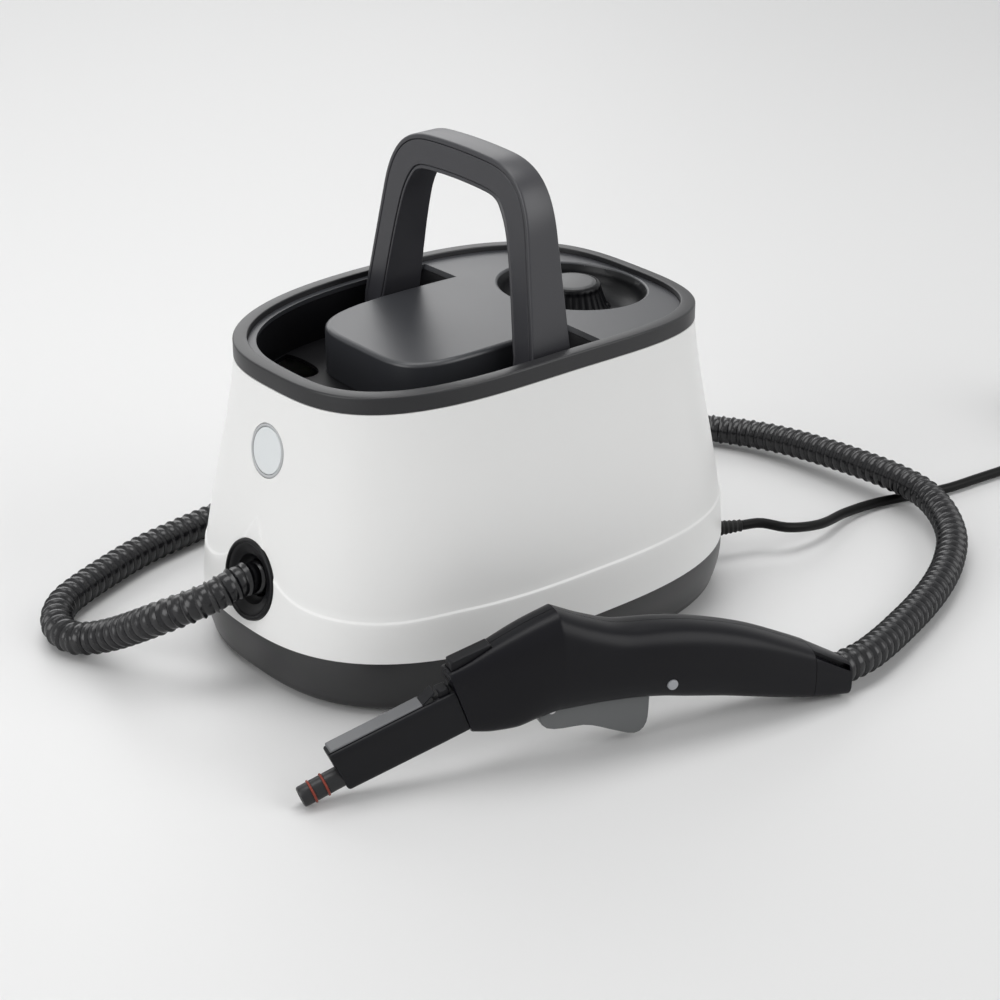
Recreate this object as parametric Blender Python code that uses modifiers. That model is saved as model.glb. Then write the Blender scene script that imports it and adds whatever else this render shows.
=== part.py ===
"""Canister steam cleaner with a fold-down handle, a ribbed steam hose, a steam gun and a mains lead."""
import math

import bmesh
import bpy
from mathutils import Matrix, Vector

# All sizes are in metres and +Z is up.
# The body is drawn about its own centre: +X runs to the rear, -X to the hose end, and -Y is the side of the gun.
BODY_X = 0.0247                 # the body's centre, from the middle of the floor that the machine and gun cover
BODY_Y = 0.0602
GAP = 0.0003                    # between two pieces that touch
OVERRUN = 0.02                  # how far a cutter runs past what it cuts
COLUMNS = 40                    # facets round the body

# Body outline at the rim, at the border of the white shell and at the bottom
RIM_HALF_LENGTH = 0.144
RIM_HALF_WIDTH = 0.0996
RIM_GLAND_POWER = 2.9
RIM_REAR_POWER = 3.2
RIM_HEIGHT = 0.1998
RIM_END_DROP = 0.0067           # the rim is highest in the middle and drops to its ends and sides
RIM_SIDE_DROP = 0.0009
FLARE_LENGTH = 0.0266           # the shell is this much longer at its border than at the rim, each way
FLARE_WIDTH = 0.0296
BORDER_HALF_LENGTH = RIM_HALF_LENGTH + FLARE_LENGTH
BORDER_HALF_WIDTH = RIM_HALF_WIDTH + FLARE_WIDTH
BORDER_POWER = 2.52
BORDER_HEIGHT = 0.040
BORDER_END_DROP = 0.0048
TUCK_LENGTH = 0.0056            # the base pan draws in by this much to its bottom, each way
TUCK_WIDTH = 0.0105
BASE_HALF_LENGTH = BORDER_HALF_LENGTH - TUCK_LENGTH
BASE_HALF_WIDTH = BORDER_HALF_WIDTH - TUCK_WIDTH
BASE_POWER = 2.78
BASE_HEIGHT = 0.0027
FLARE_SHARE = 0.55              # how much of the flare is an S instead of a straight slope

# Outer shell and base pan
SHELL_WALL = 0.0025
RELIEF_STEP = 0.0008            # the lower shell stands proud of the upper by this much
RELIEF_RUN = 0.0012
RELIEF_HEIGHT = 0.057
ARCH_RISE = 0.050               # the relief line arches over the hose gland
ARCH_HALF_WIDTH = 0.060
PAN_INSET = 0.0004
PAN_CORNER = 0.0045
PAN_TUCK_POWER = 1.7
FOOT_RADIUS = 0.008
FOOT_SETBACK = 0.053            # of a foot's middle from the end of the base pan
FOOT_MARGIN = 0.0467            # and from its side
FOOT_X = BASE_HALF_LENGTH - FOOT_SETBACK
FOOT_Y = BASE_HALF_WIDTH - FOOT_MARGIN

# Rim band
RIM_BAND = 0.0107
RIM_TOP_WIDTH = 0.0082
RIM_EDGE = 0.001
LEDGE_WIDTH = 0.0023            # the ledge inside the rim that the deck rests on
DECK_BELOW_RIM = 0.0034
DECK_THICKNESS = 0.0030

# Deck, plateau, handle channel and cap recess
LIP_WIDTH = 0.0048              # deck between the rim and the channel
CAP_SETBACK = 0.058             # of the filler cap's axis from the end of the rim
CAP_X = RIM_HALF_LENGTH - CAP_SETBACK
PLATEAU_SETBACK = 0.0615
PLATEAU_MARGIN = 0.04335
PLATEAU_FRONT = RIM_HALF_LENGTH - PLATEAU_SETBACK
PLATEAU_HALF_WIDTH = RIM_HALF_WIDTH - PLATEAU_MARGIN
PLATEAU_POWER = 4.27
PLATEAU_ROLL = 0.003
PLATEAU_WALL = 0.0028
PLATEAU_BEFORE_CAP = 0.044      # where the plateau's body ends, ahead of the cap's axis
CAVITY_BEFORE_CAP = 0.056
POCKET_BEFORE_CAP = 0.051       # the rear wall of the pockets behind the handle's legs, at the deck
PLATEAU_REAR = CAP_X - PLATEAU_BEFORE_CAP
CAVITY_REAR = CAP_X - CAVITY_BEFORE_CAP
POCKET_REAR = CAP_X - POCKET_BEFORE_CAP
CHANNEL_DEPTH = 0.035           # from the rim's highest point to the channel's floor
CHANNEL_FLOOR = RIM_HEIGHT - CHANNEL_DEPTH
POCKET_SLANT = math.radians(28)
FLOOR_OPENING_INSET = 0.006
DRAIN_SETBACK = 0.046           # oval drain hole in the channel's far front corner
DRAIN_MARGIN = 0.0536
DRAIN_X = DRAIN_SETBACK - RIM_HALF_LENGTH
DRAIN_Y = RIM_HALF_WIDTH - DRAIN_MARGIN
DRAIN_HALF_LENGTH = 0.009
DRAIN_HALF_WIDTH = 0.012
RECESS_HALF_LENGTH = 0.0464
RECESS_HALF_WIDTH = 0.0488
RECESS_DEPTH = 0.0201
BOWL_WALL = 0.0022

# Carrying handle
PIVOT_BEFORE_CAP = 0.086
PIVOT_X = CAP_X - PIVOT_BEFORE_CAP
PIVOT_ABOVE_FLOOR = 0.0176      # the handle's pivot, over the channel's floor
PIVOT_HEIGHT = CHANNEL_FLOOR + PIVOT_ABOVE_FLOOR
HANDLE_FRONT = 0.0158           # ahead of the pivot, at the height of the channel's mouth
HANDLE_BACK = 0.0136
HANDLE_LEAN = 0.0927            # the front face leans back as it rises
HANDLE_FOOT_RISE = 0.0076       # the legs are straight from this far over the pivot
HANDLE_FOOT_LEVEL = PIVOT_HEIGHT + HANDLE_FOOT_RISE
HANDLE_SIDE_ROOM = 0.0156       # between the legs' outside and the outside of the rim
HANDLE_HALF_WIDTH = RIM_HALF_WIDTH - HANDLE_SIDE_ROOM
HANDLE_TAPER = 0.185
HANDLE_FOLD_ROOM = 0.0306       # what the folded handle leaves to the end of the rim
HANDLE_TOP = HANDLE_FOOT_LEVEL + RIM_HALF_LENGTH + PIVOT_X - HANDLE_FOLD_ROOM
HANDLE_CROWN = 0.0053
HANDLE_CORNER_RUN = 0.041
HANDLE_THICKNESS = 0.0194
HANDLE_EDGE = 0.001
HANDLE_FOOT_DEPTH = 0.0146      # of the leg under its pivot
TRIM_OUTER_MARGIN = 0.0032
TRIM_INNER_MARGIN = 0.0022
TRIM_DEPTH = 0.002
PIN_RADIUS = 0.004
PIN_HEAD_RADIUS = 0.0062
PIN_HEAD_LENGTH = 0.002

# Filler cap and neck
CAP_TOP_RADIUS = 0.0228
CAP_SKIRT_RADIUS = 0.0268
CAP_HEIGHT = 0.018
CAP_ROOF_ABOVE_FLOOR = 0.0207   # the top of the disc over the floor of the recess
CAP_RIBS = 16
CAP_RIB_DEPTH = 0.0011
CAP_LIFT_ROOM = 0.0023          # between the skirt and the floor of the recess
DISC_RADIUS = 0.0196
DISC_DEPTH = 0.0012
NECK_RADIUS = 0.021
NECK_BORE = 0.0168
NECK_ABOVE_FLOOR = 0.0012
SEAL_HEIGHT = 0.0015
PLUG_FLANGE_HEIGHT = 0.0018
PLUG_LENGTH = 0.020

# Boiler and what is on it
BOILER_RADIUS = 0.055
BOILER_WALL = 0.0022
BOILER_BOTTOM = 0.046
BOILER_BELOW_RIM = 0.0478
BOILER_TOP = RIM_HEIGHT - BOILER_BELOW_RIM
BOILER_SEAM_SHARE = 0.48113
BOILER_SEAM = BOILER_BOTTOM + (BOILER_TOP - BOILER_BOTTOM) * BOILER_SEAM_SHARE
BOILER_CORNER = 0.016
FLANGE_WIDTH = 0.007
FLANGE_RADIUS = BOILER_RADIUS + FLANGE_WIDTH
FLANGE_HEIGHT = 0.0025
POST_RADIUS = 0.0036
POST_COUNT = 4
HEATER_RADIUS = 0.034
HEATER_TUBE = 0.004
THERMOSTAT_RADIUS = 0.011
THERMOSTAT_HEIGHT = 0.009
THERMOSTAT_X = 0.058
FUSE_RADIUS = 0.003
FUSE_LENGTH = 0.016
SWITCH_RADIUS = 0.009
SWITCH_HEIGHT = 0.014
SWITCH_Y = 0.036
VALVE_BEFORE_CAP = 0.116
VALVE_X = CAP_X - VALVE_BEFORE_CAP
VALVE_Y = 0.052
VALVE_HEIGHT = 0.070
VALVE_LENGTH = 0.034
VALVE_WIDTH = 0.024
VALVE_COIL_RADIUS = 0.013
VALVE_COIL_LENGTH = 0.028
PIPE_RADIUS = 0.003
PIPE_RISE = 0.0062
PIPE_STRAIGHT = 0.014

# Control board on its posts
BOARD_BEFORE_CAP = 0.131
BOARD_X = CAP_X - BOARD_BEFORE_CAP
BOARD_Y = -0.030
BOARD_LENGTH = 0.086
BOARD_WIDTH = 0.062
BOARD_THICKNESS = 0.0016
BOARD_HEIGHT = 0.034
BOARD_POST_MARGIN = 0.006
RELAY_LENGTH = 0.020
RELAY_WIDTH = 0.016
RELAY_HEIGHT = 0.015
TERMINAL_LENGTH = 0.030
TERMINAL_WIDTH = 0.008
TERMINAL_HEIGHT = 0.010

# Power button
BUTTON_BELOW_RIM = 0.0548
BUTTON_HEIGHT = RIM_HEIGHT - BUTTON_BELOW_RIM
BUTTON_RADIUS = 0.0142
BUTTON_DEPTH = 0.006
BUTTON_DISH = 0.0005
BEZEL_RADIUS = 0.0163
BEZEL_DEPTH = 0.018
BEZEL_FLOOR = 0.002
MICROSWITCH_RADIUS = 0.007
BUTTON_TRAVEL = 0.0018

# Hose gland
GLAND_HEIGHT = 0.0655
GLAND_RADIUS = 0.0265
GLAND_MOUTH_RADIUS = 0.0155
GLAND_THROAT_RADIUS = 0.0112
GLAND_PROUD = 0.0028
GLAND_DEPTH = 0.016
GLAND_DISH = 0.0022
GLAND_LIP = 0.0028
FERRULE_LENGTH = 0.016
FERRULE_BORE = 0.0035

# Ribbed steam hose, in its own route
HOSE_RADIUS = 0.0092            # between the ribs
HOSE_RIB_RADIUS = 0.0105
HOSE_BORE = 0.0055
HOSE_RIBS = 94

# Mains lead, its coil and its plug
LEAD_RADIUS = 0.0034
LEAD_ANGLE = math.radians(-26.5)
LEAD_HEIGHT = 0.0205
RELIEF_LENGTH = 0.022
RELIEF_ROOT_RADIUS = 0.0056
RELIEF_TIP_RADIUS = 0.0042
RELIEF_FLANGE_RADIUS = 0.0075
RELIEF_FLANGE = 0.002
COIL_X = 0.535
COIL_Y = -0.112
COIL_INNER_RADIUS = 0.0255
COIL_LAYERS = 4
COIL_LOOPS_IN_LAYER = 3
COIL_STEP = 0.0074              # from loop to loop and from layer to layer
COIL_LOOP_POINTS = 16
COIL_START = math.radians(125)
COIL_END_INWARD = 0.014

PLUG_WIDTH = 0.036
PLUG_HEIGHT = 0.026
PLUG_BODY_LENGTH = 0.042
PLUG_PIN_RADIUS = 0.0024
PLUG_PIN_LENGTH = 0.019
PLUG_PIN_SPACING = 0.019
LEAD_ROUTE = (                  # hand-chosen points, from the body's centre
    (0.2060, -0.0850, 0.0175), (0.2350, -0.0870, 0.0115), (0.2720, -0.0780, 0.0060),
    (0.3020, -0.0775, 0.0040), (0.3260, -0.0835, 0.0038), (0.3590, -0.0925, 0.0038), (0.3890, -0.0953, 0.0038),
    (0.4160, -0.0975, 0.0038), (0.4520, -0.0995, 0.0038))

# Steam gun, drawn along its own +X from the nozzle to the tail, -Y towards its near side
GUN_X = -0.2286                 # of the nozzle's tip, from the body's centre
GUN_Y = -0.1396
GUN_ANGLE = math.radians(-16.42)
GUN_SPLIT = 0.096               # the nose ends and the two halves start
GUN_TAIL_SEAM = 0.3162
GUN_END = 0.3372
GUN_TAIL_SWING = math.radians(18)   # the tail's end face turns towards the hose
SPIGOT_HEIGHT = 0.0062
SPIGOT_SLOPE = math.radians(19.4)
SPIGOT_RADIUS = 0.0057
SPIGOT_LENGTH = 0.038
SPIGOT_BORE = 0.0018
SEAL_TUBE = 0.0012
SEAL_SHARES = (0.19, 0.40)      # places of the seals along the spigot
GROOVE_DEPTH = 0.0012
TRIGGER_PIVOT_X = 0.1475
TRIGGER_PIVOT_Z = 0.0335
TRIGGER_HALF_WIDTH = 0.0062
TRIGGER_PIN_RADIUS = 0.0022
TRIGGER_PIN_HALF_LENGTH = 0.0100
TRIGGER_SIDE_CLEARANCE = 0.0006
TRIGGER_END = 0.2142
TRIGGER_TOP = 0.0030             # over the pivot
SLOT_ROOF = 0.0495
LOCK_X = 0.2196
LOCK_Z = 0.0385
LOCK_RADIUS = 0.0028
LOCK_HALF_LENGTH = 0.0182
GUN_VALVE_X = 0.186
GUN_VALVE_Z = 0.0600
GUN_VALVE_LENGTH = 0.022
GUN_VALVE_HEIGHT = 0.018
GUN_VALVE_HALF_WIDTH = 0.008
STEM_RADIUS = 0.0024
STEM_TOP = 0.0570
STEM_BORE_TOP = 0.0650
GUN_TUBE_RADIUS = 0.0026
BUTTON_SLIDE = 0.0025
RELEASE_FRONT = 0.0905
RELEASE_REAR = 0.1165
RELEASE_HALF_WIDTH = 0.0085
RELEASE_SINK = 0.0075
RELEASE_FRONT_RISE = 0.0060     # how far it stands out of the gun's top
RELEASE_REAR_RISE = 0.0020
LATCH_CLEARANCE = 0.0004
SLOT_FROM = 0.0757              # notch in the top of the nose
SLOT_TO = 0.0850
SLOT_DEPTH = 0.003
SLOT_HALF_WIDTH = 0.006
TRIGGER_EYE = 0.0052
TRIGGER_LENGTH = 0.0717
TRIGGER_DROP = 0.032
# from the trigger's pivot: along as a share of its length, up as a share of its drop
TRIGGER_SIDE_SHARES = (
    (-0.0628, 0.0938), (-0.0697, -0.1250), (0.0279, -0.4688), (0.2232, -0.6250),
    (0.6416, -0.8750), (0.7950, -1.0000), (0.8926, -0.9062), (0.9303, -0.3125),
    (0.9275, 0.0312), (0.8647, 0.0938), (0.0418, 0.0938), (-0.0139, 0.1500))
GUN_HEIGHT = 0.0937
GUN_HALF_WIDTH = 0.0175
# along as a share of the gun's end, bottom and top of its height, half width of the widest, power and lean
GUN_STATION_SHARES = (
    (0.0670, 0.0854, 0.3650, 0.7314, 6.0, 0.36),
    (0.1186, 0.1227, 0.4429, 0.7714, 6.0, 0.34),
    (0.2245, 0.2263, 0.5870, 0.8000, 5.0, 0.34),
    (0.2847, 0.2903, 0.7054, 0.8571, 4.0, 0.35),
    (0.3144, 0.2609, 0.7641, 0.9029, 3.6, 0.30),
    (0.3559, 0.2668, 0.8506, 0.9429, 3.2, 0.20),
    (0.4033, 0.2978, 0.9349, 0.9714, 3.0, 0.08),
    (0.4508, 0.3255, 1.0000, 0.9829, 2.8, 0.0),
    (0.5101, 0.3255, 0.8943, 1.0000, 2.8, 0.0),
    (0.5724, 0.3148, 0.8132, 1.0000, 2.8, 0.0),
    (0.6406, 0.2796, 0.7812, 1.0000, 2.8, 0.0),
    (0.6880, 0.2401, 0.7503, 0.9943, 2.8, 0.0),
    (0.7562, 0.1868, 0.6830, 0.9714, 2.8, 0.0),
    (0.8244, 0.1281, 0.5923, 0.9429, 3.0, 0.0),
    (0.8956, 0.0662, 0.4696, 0.8857, 3.2, 0.0),
    (0.9490, 0.0320, 0.3682, 0.8286, 3.6, 0.0),
    (1.0000, 0.0085, 0.2668, 0.7657, 4.0, 0.0))
GUN_STATIONS = tuple((along * GUN_END, low * GUN_HEIGHT, high * GUN_HEIGHT, half * GUN_HALF_WIDTH, power, lean)
                     for along, low, high, half, power, lean in GUN_STATION_SHARES)


# Scene helpers

def clear_scene():
    for old in list(bpy.data.objects):
        bpy.data.objects.remove(old, do_unlink=True)


def collection(name):
    group = bpy.data.collections.new(name)
    bpy.context.scene.collection.children.link(group)
    return group


def material(name, color, roughness, metallic=0.0):
    made = bpy.data.materials.new(name)
    made.use_nodes = True
    shader = made.node_tree.nodes["Principled BSDF"]
    shader.inputs["Base Color"].default_value = (*color, 1.0)
    shader.inputs["Roughness"].default_value = roughness
    shader.inputs["Metallic"].default_value = metallic
    made.diffuse_color = (*color, 1.0)
    return made


def empty(name, place, parent=None, turn=0.0):
    made = bpy.data.objects.new(name, None)
    PARTS.objects.link(made)
    made.parent = parent
    made.location = place
    made.rotation_euler = (0.0, 0.0, turn)
    return made


def add_object(name, data, finish, parent):
    made = bpy.data.objects.new(name, data)
    if finish is None:
        CUTTERS.objects.link(made)
        made.hide_render = True
        made.display_type = "WIRE"
    else:
        PARTS.objects.link(made)
        data.materials.append(finish)
    made.parent = parent
    return made


def smooth(mesh, angle=math.radians(35)):
    mesh.shade_smooth()
    mesh.set_sharp_from_angle(angle=angle)


def finish_mesh(name, bm, finish, parent):
    bmesh.ops.remove_doubles(bm, verts=bm.verts, dist=1e-7)
    bmesh.ops.recalc_face_normals(bm, faces=bm.faces)
    mesh = bpy.data.meshes.new(name)
    bm.to_mesh(mesh)
    bm.free()
    smooth(mesh)
    return add_object(name, mesh, finish, parent)


def loft(name, rings, finish, parent, ring_shaped=False):
    """Skin a row of rings with the same number of points. Ring shaped joins the last ring to the first."""
    bm = bmesh.new()
    rows = [[bm.verts.new(point) for point in ring] for ring in rings]
    count = len(rows[0])
    pairs = list(zip(rows, rows[1:]))
    if ring_shaped:
        pairs.append((rows[-1], rows[0]))
    else:
        bm.faces.new(rows[0][::-1])
        bm.faces.new(rows[-1])
    for lower, upper in pairs:
        for place in range(count):
            after = (place + 1) % count
            bm.faces.new((lower[place], lower[after], upper[after], upper[place]))
    return finish_mesh(name, bm, finish, parent)


def turned(name, profile, finish, parent, place=(0, 0, 0), axis=(0, 0, 1), steps=24):
    """Turn a profile of (radius, height) about its axis. The profile runs down the outer side."""
    mesh = bpy.data.meshes.new(name)
    closed = profile[0][0] > 0 or profile[-1][0] > 0
    edges = [(point, point + 1) for point in range(len(profile) - 1)]
    if closed:
        edges.append((len(profile) - 1, 0))
    mesh.from_pydata([(radius, 0.0, height) for radius, height in profile], edges, [])
    made = add_object(name, mesh, finish, parent)
    screw = made.modifiers.new("turn", "SCREW")
    screw.steps = steps
    screw.render_steps = steps
    screw.use_merge_vertices = True
    screw.merge_threshold = 1e-6
    screw.use_normal_calculate = False
    point_at(made, place, axis)
    return made


def point_at(made, place, axis):
    turn = Vector((0, 0, 1)).rotation_difference(Vector(axis))
    made.location = place
    made.rotation_mode = "QUATERNION"
    made.rotation_quaternion = turn


def cylinder(name, radius, start, end, finish, parent, sides=16):
    start = Vector(start)
    end = Vector(end)
    bm = bmesh.new()
    length = (end - start).length
    bmesh.ops.create_cone(bm, cap_ends=True, segments=sides, radius1=radius, radius2=radius, depth=length)
    turn = Vector((0, 0, 1)).rotation_difference(end - start).to_matrix().to_4x4()
    bmesh.ops.transform(bm, matrix=Matrix.Translation((start + end) / 2) @ turn, verts=bm.verts)
    return finish_mesh(name, bm, finish, parent)


def box(name, low, high, finish, parent):
    low = Vector(low)
    high = Vector(high)
    bm = bmesh.new()
    bmesh.ops.create_cube(bm, size=1.0)
    for corner in bm.verts:
        corner.co = Vector([(low[k] + high[k]) / 2 + corner.co[k] * (high[k] - low[k]) for k in range(3)])
    return finish_mesh(name, bm, finish, parent)


def combine(target, tool, operation="DIFFERENCE"):
    step = target.modifiers.new(tool.name, "BOOLEAN")
    step.operation = operation
    step.solver = "EXACT"
    step.object = tool


def cut(target, *tools):
    for tool in tools:
        combine(target, tool)


def join(target, *tools):
    for tool in tools:
        combine(target, tool, "UNION")


def bevel_edges(made, width):
    bevel = made.modifiers.new("edges", "BEVEL")
    bevel.width = width
    bevel.segments = 1
    bevel.limit_method = "ANGLE"
    bevel.angle_limit = math.radians(60)


def settle(made):
    """Replace an object's mesh by what its modifiers make of it."""
    bpy.context.view_layer.update()
    graph = bpy.context.evaluated_depsgraph_get()
    baked = bpy.data.meshes.new_from_object(made.evaluated_get(graph))
    made.modifiers.clear()
    made.data = baked


def move_origin(made, place):
    """Put an object's origin on its joint without moving its surface."""
    made.data.transform(Matrix.Translation(-Vector(place)))
    made.location = Vector(made.location) + Vector(place)


def mix(first, second, share):
    return first + (second - first) * share


def smoothstep(share):
    return share * share * (3 - 2 * share)


def even_points(points, count):
    """Points at even distances on a smooth curve through hand-chosen points."""
    fine = []
    places = [Vector(point) for point in points]
    padded = [2 * places[0] - places[1]] + places + [2 * places[-1] - places[-2]]
    for before, start, end, after in zip(padded, padded[1:], padded[2:], padded[3:]):
        # centripetal steps keep the curve free of loops
        knots = [0.0]
        for first, second in ((before, start), (start, end), (end, after)):
            knots.append(knots[-1] + math.sqrt((second - first).length))
        for step in range(24):
            now = mix(knots[1], knots[2], step / 24)
            a1 = before * (knots[1] - now) / (knots[1] - knots[0]) + start * (now - knots[0]) / (knots[1] - knots[0])
            a2 = start * (knots[2] - now) / (knots[2] - knots[1]) + end * (now - knots[1]) / (knots[2] - knots[1])
            a3 = end * (knots[3] - now) / (knots[3] - knots[2]) + after * (now - knots[2]) / (knots[3] - knots[2])
            b1 = a1 * (knots[2] - now) / (knots[2] - knots[0]) + a2 * (now - knots[0]) / (knots[2] - knots[0])
            b2 = a2 * (knots[3] - now) / (knots[3] - knots[1]) + a3 * (now - knots[1]) / (knots[3] - knots[1])
            fine.append(b1 * (knots[2] - now) / (knots[2] - knots[1]) + b2 * (now - knots[1]) / (knots[2] - knots[1]))
    fine.append(places[-1])
    distances = [0.0]
    for first, second in zip(fine, fine[1:]):
        distances.append(distances[-1] + (second - first).length)
    even = []
    segment = 0
    for step in range(count):
        wanted = distances[-1] * step / (count - 1)
        while segment < len(fine) - 2 and distances[segment + 1] < wanted:
            segment += 1
        span = distances[segment + 1] - distances[segment]
        even.append(fine[segment].lerp(fine[segment + 1], min(1.0, (wanted - distances[segment]) / span)))
    return even, distances[-1]


def tube(name, points, radius, finish, parent, resolution=2, radii=None):
    curve = bpy.data.curves.new(name, "CURVE")
    curve.dimensions = "3D"
    curve.bevel_depth = radius
    curve.bevel_resolution = resolution
    curve.use_fill_caps = True
    line = curve.splines.new("POLY")
    line.points.add(len(points) - 1)
    for place, point in enumerate(points):
        line.points[place].co = (*point, 1.0)
        if radii:
            line.points[place].radius = radii[place]
    made = bpy.data.objects.new(name, curve)
    made.parent = parent
    PARTS.objects.link(made)
    bpy.context.view_layer.update()
    graph = bpy.context.evaluated_depsgraph_get()
    mesh = bpy.data.meshes.new_from_object(made.evaluated_get(graph))
    bpy.data.objects.remove(made, do_unlink=True)
    bpy.data.curves.remove(curve)
    bm = bmesh.new()
    bm.from_mesh(mesh)
    bpy.data.meshes.remove(mesh)
    bmesh.ops.remove_doubles(bm, verts=bm.verts, dist=1e-6)
    return finish_mesh(name, bm, finish, parent)


# Body outline

def outline(half_length, half_width, gland_power, rear_power=None, count=COLUMNS):
    """Points round a rounded rectangle whose sides bow out, starting at the rear."""
    points = []
    for step in range(count):
        angle = 2 * math.pi * step / count
        points.append(outline_point(angle, half_length, half_width, gland_power, rear_power))
    return points


def outline_point(angle, half_length, half_width, gland_power, rear_power=None):
    across = math.cos(angle)
    along = math.sin(angle)
    power = gland_power
    if rear_power and across > 0:
        power = rear_power
    reach = (abs(across) ** power + abs(along) ** power) ** (-1 / power)
    return half_length * reach * across, half_width * reach * along


def rim_drop(x, y):
    return RIM_END_DROP * (x / RIM_HALF_LENGTH) ** 2 + RIM_SIDE_DROP * (y / RIM_HALF_WIDTH) ** 2


def border_drop(x):
    return BORDER_END_DROP * (x / BORDER_HALF_LENGTH) ** 2


def shell_point(angle, share, inset=0.0):
    """A point on the outer shell: share 0 is its top edge and 1 its lower border."""
    flare = mix(share, smoothstep(share), FLARE_SHARE)
    half_length = mix(RIM_HALF_LENGTH, BORDER_HALF_LENGTH, flare) - inset
    half_width = mix(RIM_HALF_WIDTH, BORDER_HALF_WIDTH, flare) - inset
    gland_power = mix(RIM_GLAND_POWER, BORDER_POWER, flare)
    rear_power = mix(RIM_REAR_POWER, BORDER_POWER, flare)
    x, y = outline_point(angle, half_length, half_width, gland_power, rear_power)
    top = RIM_HEIGHT - RIM_BAND - rim_drop(x, y)
    bottom = BORDER_HEIGHT - border_drop(x)
    return Vector((x, y, mix(top, bottom, share)))


def shell_share(height):
    return (RIM_HEIGHT - RIM_BAND - height) / (RIM_HEIGHT - RIM_BAND - BORDER_HEIGHT)


def shell_face(angle, height):
    """Where the shell has this height, and which way it faces there."""
    low = 0.0
    high = 1.0
    for _ in range(30):
        middle = (low + high) / 2
        if shell_point(angle, middle).z > height:
            low = middle
        else:
            high = middle
    nudge = 0.01
    place = shell_point(angle, low)
    round_it = shell_point(angle + nudge, low) - shell_point(angle - nudge, low)
    down_it = shell_point(angle, low + nudge) - shell_point(angle, low - nudge)
    out = round_it.cross(down_it).normalized()
    if out.dot(Vector((place.x, place.y, 0))) < 0:
        out = -out
    return place, out


def relief_share(angle):
    """The share of the shell's height at which its relief step lies: level, with an arch over the hose gland."""
    point = shell_point(angle, shell_share(RELIEF_HEIGHT))
    away = min(1.0, abs(point.y) / ARCH_HALF_WIDTH)
    rise = 0.0
    if point.x < 0:
        rise = ARCH_RISE * (0.5 + 0.5 * math.cos(math.pi * away)) ** 0.8
    return shell_share(RELIEF_HEIGHT + rise)


def pan_point(angle, share, inset=0.0):
    """A point on the base pan: share 0 is the border under the shell and 1 the corner at the bottom."""
    tuck = share ** PAN_TUCK_POWER
    half_length = mix(BORDER_HALF_LENGTH - PAN_INSET, BASE_HALF_LENGTH, tuck) - inset
    half_width = mix(BORDER_HALF_WIDTH - PAN_INSET, BASE_HALF_WIDTH, tuck) - inset
    power = mix(BORDER_POWER, BASE_POWER, share)
    x, y = outline_point(angle, half_length, half_width, power)
    top = BORDER_HEIGHT - GAP - border_drop(x)
    return Vector((x, y, mix(top, BASE_HEIGHT + PAN_CORNER, share)))


def ring_of(point_at_angle):
    return [point_at_angle(2 * math.pi * step / COLUMNS) for step in range(COLUMNS)]


# Shell, pan, feet and rim

def outer_shell():
    rows = []
    upper_rows = 4
    for row in range(upper_rows + 1):
        rows.append(ring_of(lambda angle: shell_point(angle, relief_share(angle) * row / upper_rows)))
    run = RELIEF_RUN / (RIM_HEIGHT - BORDER_HEIGHT)
    lower_rows = 2
    for row in range(lower_rows):
        fade = row / lower_rows

        def lower(angle):
            share = mix(relief_share(angle) + run, 1.0, fade)
            return shell_point(angle, share, -RELIEF_STEP * (1 - fade))
        rows.append(ring_of(lower))
    rows.append(ring_of(lambda angle: shell_point(angle, 1.0)))
    inner_rows = 2
    for row in range(inner_rows + 1):
        rows.append(ring_of(lambda angle: shell_point(angle, 1 - row / inner_rows, SHELL_WALL)))
    shell = loft("outer_shell", rows, WHITE, BODY, ring_shaped=True)
    gland_place, gland_axis = shell_face(math.pi, GLAND_HEIGHT)
    gland_hole = cylinder("gland_hole", GLAND_RADIUS + GAP, gland_place - gland_axis * OVERRUN,
                          gland_place + gland_axis * OVERRUN, None, BODY, sides=32)
    button_place, button_axis = shell_face(math.pi, BUTTON_HEIGHT)
    button_hole = cylinder("button_hole", BEZEL_RADIUS + GAP, button_place - button_axis * OVERRUN,
                           button_place + button_axis * OVERRUN, None, BODY, sides=32)
    cut(shell, gland_hole, button_hole)


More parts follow.
